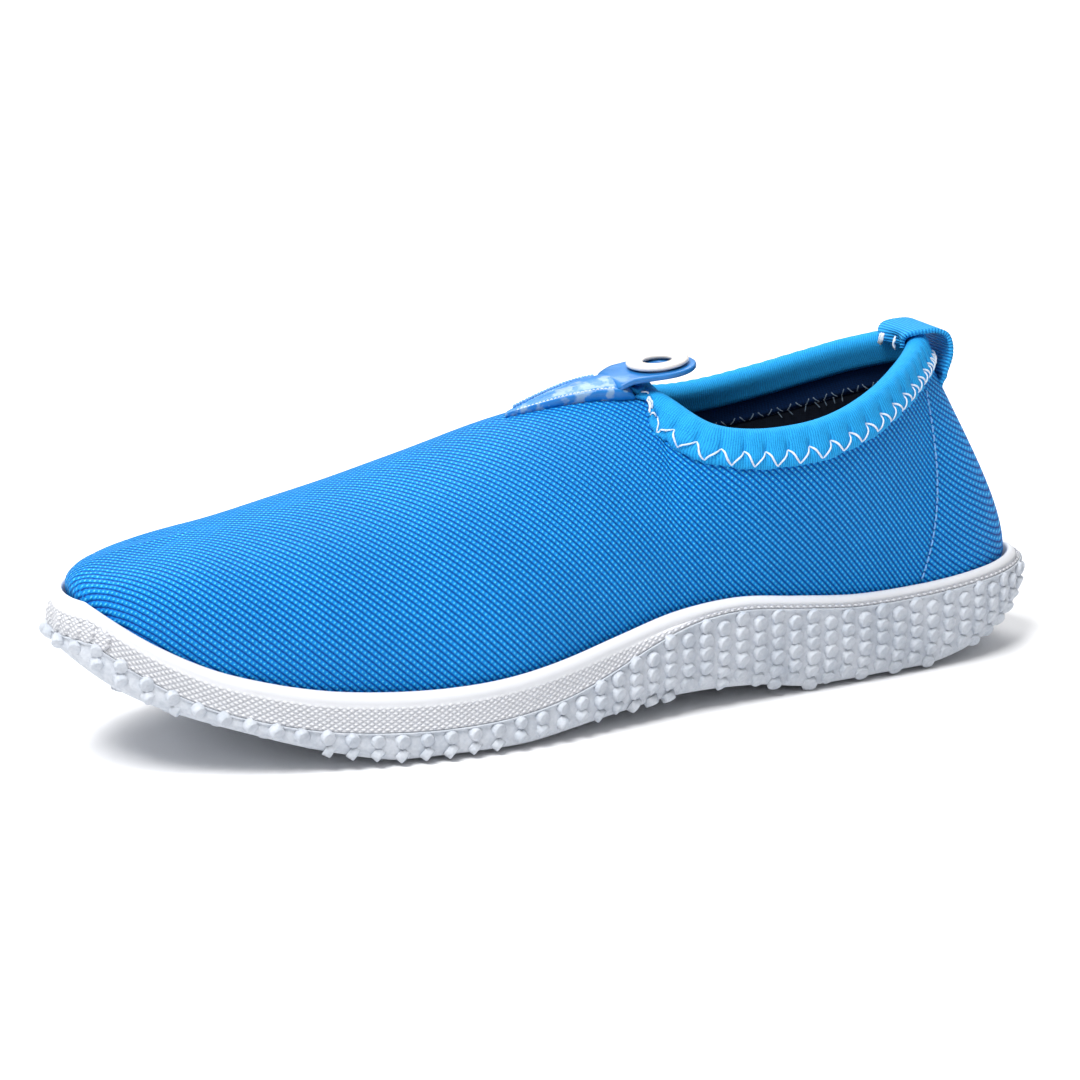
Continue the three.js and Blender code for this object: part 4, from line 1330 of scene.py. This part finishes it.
    def toe_scales(self, bm: bmesh.types.BMesh) -> None:
        """Five large overlapping scales on each side of the toe, their cliffs facing the heel."""
        last = self.shop.last
        edges = []
        before = set(bm.verts)
        for side in Side:
            for k in range(5):
                u = side.value * (0.012 + 0.022 * k + 0.006)
                spot = Vector(last.outline(np.array([u]), 2.2)[0])
                spot.z = float(lerp(last.lip(spot.x) + 0.8, last.rim_height(spot.x) - 2.4, 0.3))
                out = Vector(last.outward(np.array([u]))[0])
                along = Vector((-out.y, out.x, 0)) * -side.value
                if along.x < 0:
                    along.negate()
                normal = (out + Vector((0, 0, 0.1))).normalized()
                edges += self.knob(bm, spot, normal, along + Vector((0, 0, -0.35)), 2.5, 1.0, 16)
        self.soften(bm, edges, 0.35)
        layer = bm.loops.layers.uv["cloth"]
        for face in bm.faces:
            if not any(v in before for v in face.verts):
                for loop in face.loops:
                    turn = math.atan2(loop.vert.co.y + 5, -85 - loop.vert.co.x)
                    loop[layer].uv = (turn * 38, 60 - loop.vert.co.z)

    def layer(self, above: float, thickness: float, inset: float, crown: float) -> bmesh.types.BMesh:
        """A layer of the footbed with a rounded edge.

        Args:
            above: how far its underside lies above the sole's underside.
            thickness: of the layer.
            inset: from the sole's outline.
            crown: how much its edge is drawn down.

        Returns:
            A closed shell.
        """
        last = self.shop.last
        rows = [(0.8, 0), (0.2, 0.15), (0, 0.5), (0.2, 0.85 - crown), (0.8, 1 - crown / 2), (2.2, 1)]
        return self.ring_body([(inset + more, between(last.bottom, last.lip, 0, above + share * thickness))
                               for more, share in rows])

    def footbed(self) -> None:
        """The board, the foam pad and the sock cloth over it."""
        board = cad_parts["insole_board"]
        board.data.materials.clear()
        board.data.materials.append(self.finishes.board)
        foam = self.layer(7.3, 3.8, 10.9, 0.1)
        piece = self.shop.piece("footbed_pad", foam, self.finishes.foam, "foam", replaces=["footbed_foam"])
        sock = self.layer(11.4, 0.8, 11.0, 0.2)
        flat = sock.loops.layers.uv["cloth"]
        for face in sock.faces:
            for loop in face.loops:
                loop[flat].uv = loop.vert.co.xy
        piece = self.shop.piece("sock_cloth", sock, self.finishes.sock, "lining_cloth",
                                replaces=["footbed_sock"])

    def build(self) -> None:
        """Build the sole from the ground up."""
        self.outsole()
        self.cup()
        self.footbed()


# ---- badge, tab and ring -------------------------------------------------------------------------
@dataclass
class Badge:
    """The plastic badge on the instep, the tab that lifts from its base, and the ring on the tab."""

    shop: Workshop
    finishes: Finishes
    apex_x: float = -13
    base_x: float = 12.6
    half_base: float = 6.8
    thin: float = 0.9
    thick: float = 2.9
    tab_x: float = 25
    tab_z: float = 72.3
    tab_radius: float = 9
    tab_thickness: float = 1.3
    tab_start: float = 12.2
    half_waist: float = 6.9
    bore: float = 3.3
    ring_radius: float = 5.35
    ring_wire: float = 2.0
    ring_height: float = 1.4
    tilt: float = 6
    cloth_face: float = 1.7
    seat: float = 0.2
    run_on: float = 1.16
    stitch_count: int = 26

    def spot(self, along: float, across: float, lift: float) -> Vector:
        """A place on the badge: along from the apex to the base, across from -1 to 1."""
        last = self.shop.last
        x = lerp(self.apex_x, self.base_x, along)
        half = self.half_base * (0.06 + 0.94 * min(along, 1))
        start = Vector((x, float(last.centre_y(x)) + across * half, float(last.instep_height(x)) + 1))
        return self.shop.on_upper(start, lift)

    def thickness(self, along: float) -> float:
        """The badge gets thicker towards its base, and runs out under the tab."""
        past = max(0.0, along - 0.97) / (self.run_on - 0.97)
        return lerp(self.thin, self.thick, min(along, 1)) * (1 - 0.75 * past * past)

    def face(self, along: float, across: float) -> float:
        """Height of the badge's face above the last: a raised rim, a stitch groove and a sunk middle."""
        edge = min(1 - abs(across), along * 3)
        fall = math.sqrt(max(0.0, 1 - (1 - min(edge / 0.14, 1)) ** 2))
        groove = 0.14 * math.exp(-((abs(across) - 0.78) / 0.05) ** 2)
        sunk = 0.12 if abs(across) < 0.6 and 0.25 < along < 0.9 else 0
        return self.cloth_face + self.thickness(along) * (0.3 + 0.7 * fall) - groove - sunk

    def badge(self) -> None:
        """The triangular patch, with a raised rim and a rounded edge."""
        points = []
        ways = np.linspace(1, -1, 49)
        for along in np.linspace(0, self.run_on, 73):
            column = [self.spot(along, across, self.face(along, across)) for across in ways]
            column += [self.spot(along, -across, self.cloth_face - self.seat) for across in ways[1:]]
            points.append(column)
        bm = grid(np.array(points))
        bmesh.ops.holes_fill(bm, edges=[e for e in bm.edges if e.is_boundary], sides=0)
        close_up(bm)
        self.shop.piece("instep_badge", bm, self.finishes.badge, "badge_plastic", replaces=["badge"])

    def stitches(self) -> None:
        """A row of white dots inside the near edge, and small loops along the far edge."""
        for side in Side:
            paths = []
            reach, high = (0.78, 0.16) if side is Side.MEDIAL else (1.02, 0.5)
            for k in range(self.stitch_count):
                along = lerp(0.1, 0.97, (k + 0.5) / self.stitch_count)
                step = 0.26 / self.stitch_count
                paths.append([self.spot(along + step * t, side.value * reach,
                                        self.face(along, min(reach, 0.9)) - 0.05 + high * (1 - t * t))
                              for t in (-1, -0.4, 0.4, 1)])
            name = f"badge_stitch_{side.name.lower()}"
            thread = self.finishes.thread if side is Side.MEDIAL else self.finishes.blue_thread
            bm = thread_curve(paths, 0.17 if side is Side.MEDIAL else 0.3, 1)
            self.shop.piece(f"{name}_row", bm, thread, "thread", replaces=[name])

    def reach(self, angle: float) -> float:
        """How far the tab's edge lies from the bore's centre, in each direction from there."""
        run = self.tab_x - self.tab_start
        turn = abs((angle + math.pi) % math.tau - math.pi)
        corner = math.atan2(self.half_waist, -run)
        touch = corner - math.acos(self.tab_radius / math.hypot(run, self.half_waist))
        if turn <= touch:
            return self.tab_radius
        return self.tab_radius / math.cos(turn - touch) if turn < corner else -run / math.cos(turn)

    def tab(self) -> None:
        """The tab: a waist that bends at the badge's base, and a round end with a bore."""
        middle = self.middle()
        half = self.tab_thickness / 2
        edge = [(-half * 0.55, -half), (-0.14, -half * 0.72), (0, -half * 0.3), (-0.12, 0), (0, half * 0.3),
                (-0.14, half * 0.72), (-half * 0.55, half)]
        section = [(0, 0.25, -half), (0.3, 0, -half), (0.6, 0, -half), (0.85, 0, -half)]
        section += [(1, out, up) for out, up in edge]
        section += [(0.85, 0, half), (0.6, 0, half), (0.3, 0, half), (0, 0.25, half), (0, 0, half - 0.25),
                    (0, 0, 0.25 - half), (0, 0.25, -half)]
        points = []
        for turn in np.linspace(0, math.tau, 145):
            way = Vector((math.cos(turn), math.sin(turn), 0))
            far = self.reach(turn)
            points.append([middle + way * (lerp(self.bore, far, share) + out) + Vector((0, 0, up + half))
                           for share, out, up in section])
        bm = grid(np.array(points))
        close_up(bm)
        for vert in bm.verts:
            sink = min(1.0, max(0.0, (self.tab_x - 8 - vert.co.x) / 4.8))
            vert.co.z -= sink * sink * (0.5 + (vert.co.y - middle.y) ** 2 / 50)
        self.lean(bm)
        piece = self.shop.piece("pull_tab_plate", bm, self.finishes.tab, "badge_plastic", rides=False,
                                replaces=["pull_tab"])
        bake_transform(piece)

    def middle(self) -> Vector:
        """The middle of the tab's bore, on its underside."""
        return Vector((self.tab_x, float(self.shop.last.centre_y(self.tab_x)), self.tab_z))

    def lean(self, bm: bmesh.types.BMesh) -> None:
        """Tilt a shape about the tab's waist, so that the free end stands a little up."""
        hinge = Vector((self.tab_start + 1.4, 0, self.tab_z))
        turn = Matrix.Rotation(math.radians(-self.tilt), 3, "Y")
        bmesh.ops.rotate(bm, verts=bm.verts, cent=hinge, matrix=turn)

    def ring(self) -> None:
        """The white ring on the tab, a flattened round section turned about its middle."""
        middle = self.middle() + Vector((0, 0, self.tab_thickness))
        bm = bmesh.new()
        start = middle + Vector((self.ring_radius, 0, 0.3 + self.ring_height / 2))
        section = bmesh.ops.create_circle(bm, segments=24, radius=1)["verts"]
        for vert in section:
            across, up = vert.co.x, vert.co.y
            squared = 1 / max(abs(across) ** 3 + abs(up) ** 3, 1e-6) ** (1 / 3)
            vert.co = start + squared * Vector((across * self.ring_wire, 0, up * self.ring_height / 2))
        edges = list(dict.fromkeys(e for v in section for e in v.link_edges))
        bmesh.ops.spin(bm, geom=list(section) + edges, cent=middle, axis=(0, 0, 1), angle=math.tau, steps=96,
                       use_merge=True)
        close_up(bm)
        self.lean(bm)
        self.shop.piece("tab_eyelet", bm, self.finishes.ring, "ring_plastic", Body.TAB, ["tab_ring"])

    def build(self) -> None:
        """Build the badge and what is on it."""
        self.badge()
        self.stitches()
        self.tab()
        self.ring()


# ---- heel loop -----------------------------------------------------------------------------------
@dataclass
class HeelLoop:
    """The webbing loop that is sewn over the back of the collar."""

    shop: Workshop
    finishes: Finishes
    middle_y: float = 3.5
    width: float = 16
    thickness: float = 1.1
    cut: float = 0.38
    roll: float = 0.04
    rib: float = 0.85
    rows: int = 70
    inner_lift: float = -3.95
    outer_lift: float = 1.75
    tuck_top: float = 66.6
    tuck_run: float = 2.6
    tuck_depth: float = 1.7

    def path(self) -> list[tuple[float, float, float]]:
        """The webbing's middle line as (x, z, wrap), wrap being how far it follows the curved heel."""
        back = self.shop.last.collar_back
        return [
            (back - 5.4, 74.4, 1), (back - 5.6, 75.8, 0.9), (back - 5.0, 77.4, 0.5), (back - 3.0, 78.6, 0.1),
            (back + 0.2, 79.0, 0), (back + 3.4, 78.9, 0), (back + 6.2, 77.7, 0), (back + 7.5, 75.2, 0),
            (back + 7.7, 72.2, 0), (back + 7.4, 69.4, 0.15), (back + 7.5, 67.2, 0.6), (back + 8.2, 65.4, 1),
            (back + 9.2, 63.4, 1)]

    def sheet(self, first: float, final: float) -> bmesh.types.BMesh:
        """A stretch of the webbing.

        Args:
            first: where it starts, as a share of the middle line.
            final: where it ends.

        Returns:
            An open sheet, facing out.
        """
        knots = np.array(self.path())
        steps = running(knots[:, :2])
        line = [Smooth(*zip(steps, knots[:, k])) for k in range(3)]
        shares = np.linspace(0, 1, 21)
        runs = np.linspace(first, final, self.rows + 1) * steps[-1]
        points = [[self.spot(share, run, line, run < steps[-1] / 2) for run in runs] for share in shares]
        bm = grid(np.array(points), flat_grid(shares * self.width, runs))
        bm.normal_update()
        return bm

    def spot(self, share: float, run: float, line: Sequence[Smooth], inner: bool) -> Vector:
        """A place on the webbing: share across it, run along its middle line, inner before the crown."""
        back = self.shop.last.collar_back
        x, z, wrap = (float(curve(run)) for curve in line)
        y = (share - 0.5) * self.width
        selvedge = 0.12 * math.sin(run * math.tau / self.rib) if share in (0.0, 1.0) else 0
        z -= self.roll * (y + self.width / 2) * (1 - wrap)
        spine = Vector((x, self.middle_y + y + selvedge, z))
        if wrap <= 0:
            return spine
        low = min(z, float(self.shop.last.collar_height(1.0)))
        probe = Vector((x + 3 if inner else back + 8, spine.y, low))
        held = self.shop.on_upper(probe, self.inner_lift if inner else self.rear_lift(z))
        held.z = z
        return spine.lerp(held, wrap)

    def rear_lift(self, z: float) -> float:
        """How far the rear leg stands off the heel cloth. Its end is tucked under."""
        tucked = min(1.0, max(0.0, (self.tuck_top - z) / self.tuck_run))
        return self.outer_lift + self.thickness - self.tuck_depth * tucked

    def half(self, name: str, first: float, final: float, nodes: Sequence[str],
             start: Vector, end: Vector) -> None:
        """One half of the webbing, from where it is sewn to the crown."""
        bm = self.sheet(first, final)
        face_away(bm, Vector((self.shop.last.collar_back + 2, self.middle_y, 72)))
        piece = self.shop.piece(name, bm, self.finishes.webbing, "webbing", rides=False, replaces=nodes)
        shell(piece, self.thickness)
        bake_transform(piece)

    def tacks(self) -> None:
        """Two tufts of stitches at the corners of the inner end."""
        rng = random.Random(5)
        paths = []
        for share in (0.14, 0.86):
            y = self.middle_y + (share - 0.5) * self.width
            for _ in range(12):
                wide = rng.uniform(-0.9, 0.9)
                low = Vector((self.shop.last.collar_back - 3, y + wide, 74.0 + rng.uniform(-0.4, 0.4)))
                path = [self.shop.on_upper(low + Vector((0, rng.uniform(-0.3, 0.3), 2.6 * t)),
                                           -4.15 - self.thickness - 0.5 * math.sin(math.pi * t))
                        for t in (0, 0.5, 1)]
                for k, point in enumerate(path):
                    point.z = low.z + 1.2 * k
                paths.append(path)
        bm = thread_curve(paths, 0.2, 1)
        self.shop.piece("loop_tufts", bm, self.finishes.thread, "thread", replaces=["loop_tack"])

    def build(self) -> None:
        """Build both halves of the loop and its stitches."""
        low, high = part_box("heel_loop")
        crown = Vector((low.x, 0.005, high.z))
        inner_foot = Vector((low.x, 0.005, high.z - 0.006))
        outer_foot = Vector((high.x, 0.005, low.z - 0.001))
        outer_free = Vector((high.x, 0.005, low.z + 0.007))
        self.half("loop_webbing_front", 0, self.cut, ["loop_inner_end"], inner_foot, crown)
        self.half("loop_webbing_rear", self.cut, 1, ["heel_loop", "loop_outer_end"], outer_foot, outer_free)
        self.tacks()


# ---- studio --------------------------------------------------------------------------------------
@dataclass
class Studio:
    """The camera, the pale floor and the soft light."""

    azimuth: float = -21
    elevation: float = 16
    distance: float = 0.9
    lens: float = 129.3
    target: tuple = (-0.00327, 0.00147, 0.03579)

    def camera(self) -> None:
        """Place the camera and make it the scene's."""
        a, e = math.radians(self.azimuth), math.radians(self.elevation)
        back = Vector((math.sin(a) * math.cos(e), -math.cos(a) * math.cos(e), math.sin(e)))
        data = bpy.data.cameras.new("camera")
        data.lens = self.lens
        data.sensor_width = 36
        data.clip_start = 0.05
        made = stand("camera", data)
        self.aim(made, Vector(self.target) + back * self.distance, Vector(self.target))
        bpy.context.scene.camera = made

    def aim(self, made: bpy.types.Object, place: Vector, target: Vector) -> None:
        """Put a camera or lamp in its place, looking at a target."""
        made.location = place
        made.rotation_mode = "QUATERNION"
        made.rotation_quaternion = (target - place).to_track_quat("-Z", "Y")

    def floor(self) -> None:
        """A wide plain floor just under the sole."""
        bm = bmesh.new()
        bmesh.ops.create_grid(bm, x_segments=1, y_segments=1, size=6)
        mesh = bpy.data.meshes.new("floor")
        bm.to_mesh(mesh)
        bm.free()
        dye = Dye("floor_paper")
        dye.set(Base_Color=(0.86, 0.86, 0.87, 1), Roughness=0.9, Specular_IOR_Level=0.1)
        mesh.materials.append(dye.material)
        stand("floor", mesh)

    def lamp(self, name: str, place: Sequence[float], size: float, power: float) -> None:
        """A soft square lamp that looks at the shoe."""
        data = bpy.data.lights.new(name, "AREA")
        data.size = size
        data.energy = power
        self.aim(stand(name, data), Vector(place), Vector((0, 0, 0.04)))

    def sky(self) -> None:
        """A soft surround, brighter from above than from the sides, and plain white behind the shoe."""
        world = bpy.data.worlds.new("studio")
        world.use_nodes = True
        nodes = Nodes(world.node_tree)
        behind = nodes.tree.nodes["Background"]
        nodes.feed(behind.inputs[0], (1, 1, 1, 1))
        where = nodes.add("ShaderNodeTexCoord").outputs["Generated"]
        height = nodes.add("ShaderNodeSeparateXYZ", where).outputs[2]
        share = nodes.add("ShaderNodeMapRange", height, -0.2, 0.9, 0.12, 0.75).outputs[0]
        glow = nodes.add("ShaderNodeBackground", Strength=share).outputs[0]
        seen = nodes.add("ShaderNodeLightPath").outputs["Is Camera Ray"]
        choice = nodes.add("ShaderNodeMixShader", seen, glow, behind.outputs[0]).outputs[0]
        nodes.feed(nodes.tree.nodes["World Output"].inputs[0], choice)
        bpy.context.scene.world = world

    def build(self) -> None:
        """Set up the studio."""
        self.camera()
        self.floor()
        self.lamp("key", (-0.55, -0.3, 1.3), 0.7, 25)
        self.lamp("back", (0.3, 0.9, 1.1), 0.9, 12)
        self.sky()
        bpy.context.scene.view_settings.view_transform = "Standard"


def main() -> None:
    """Build the shoe in its studio, piece by piece."""
    logging.basicConfig(level=logging.INFO, format="%(message)s")
    Studio().build()
    shop = Workshop(Last())
    finishes = Finishes()
    Sole(shop, finishes).build()
    Upper(shop, finishes).build()
    Collar(shop, finishes).build()
    Badge(shop, finishes).build()
    HeelLoop(shop, finishes).build()


if __name__ == "__main__":
    main()
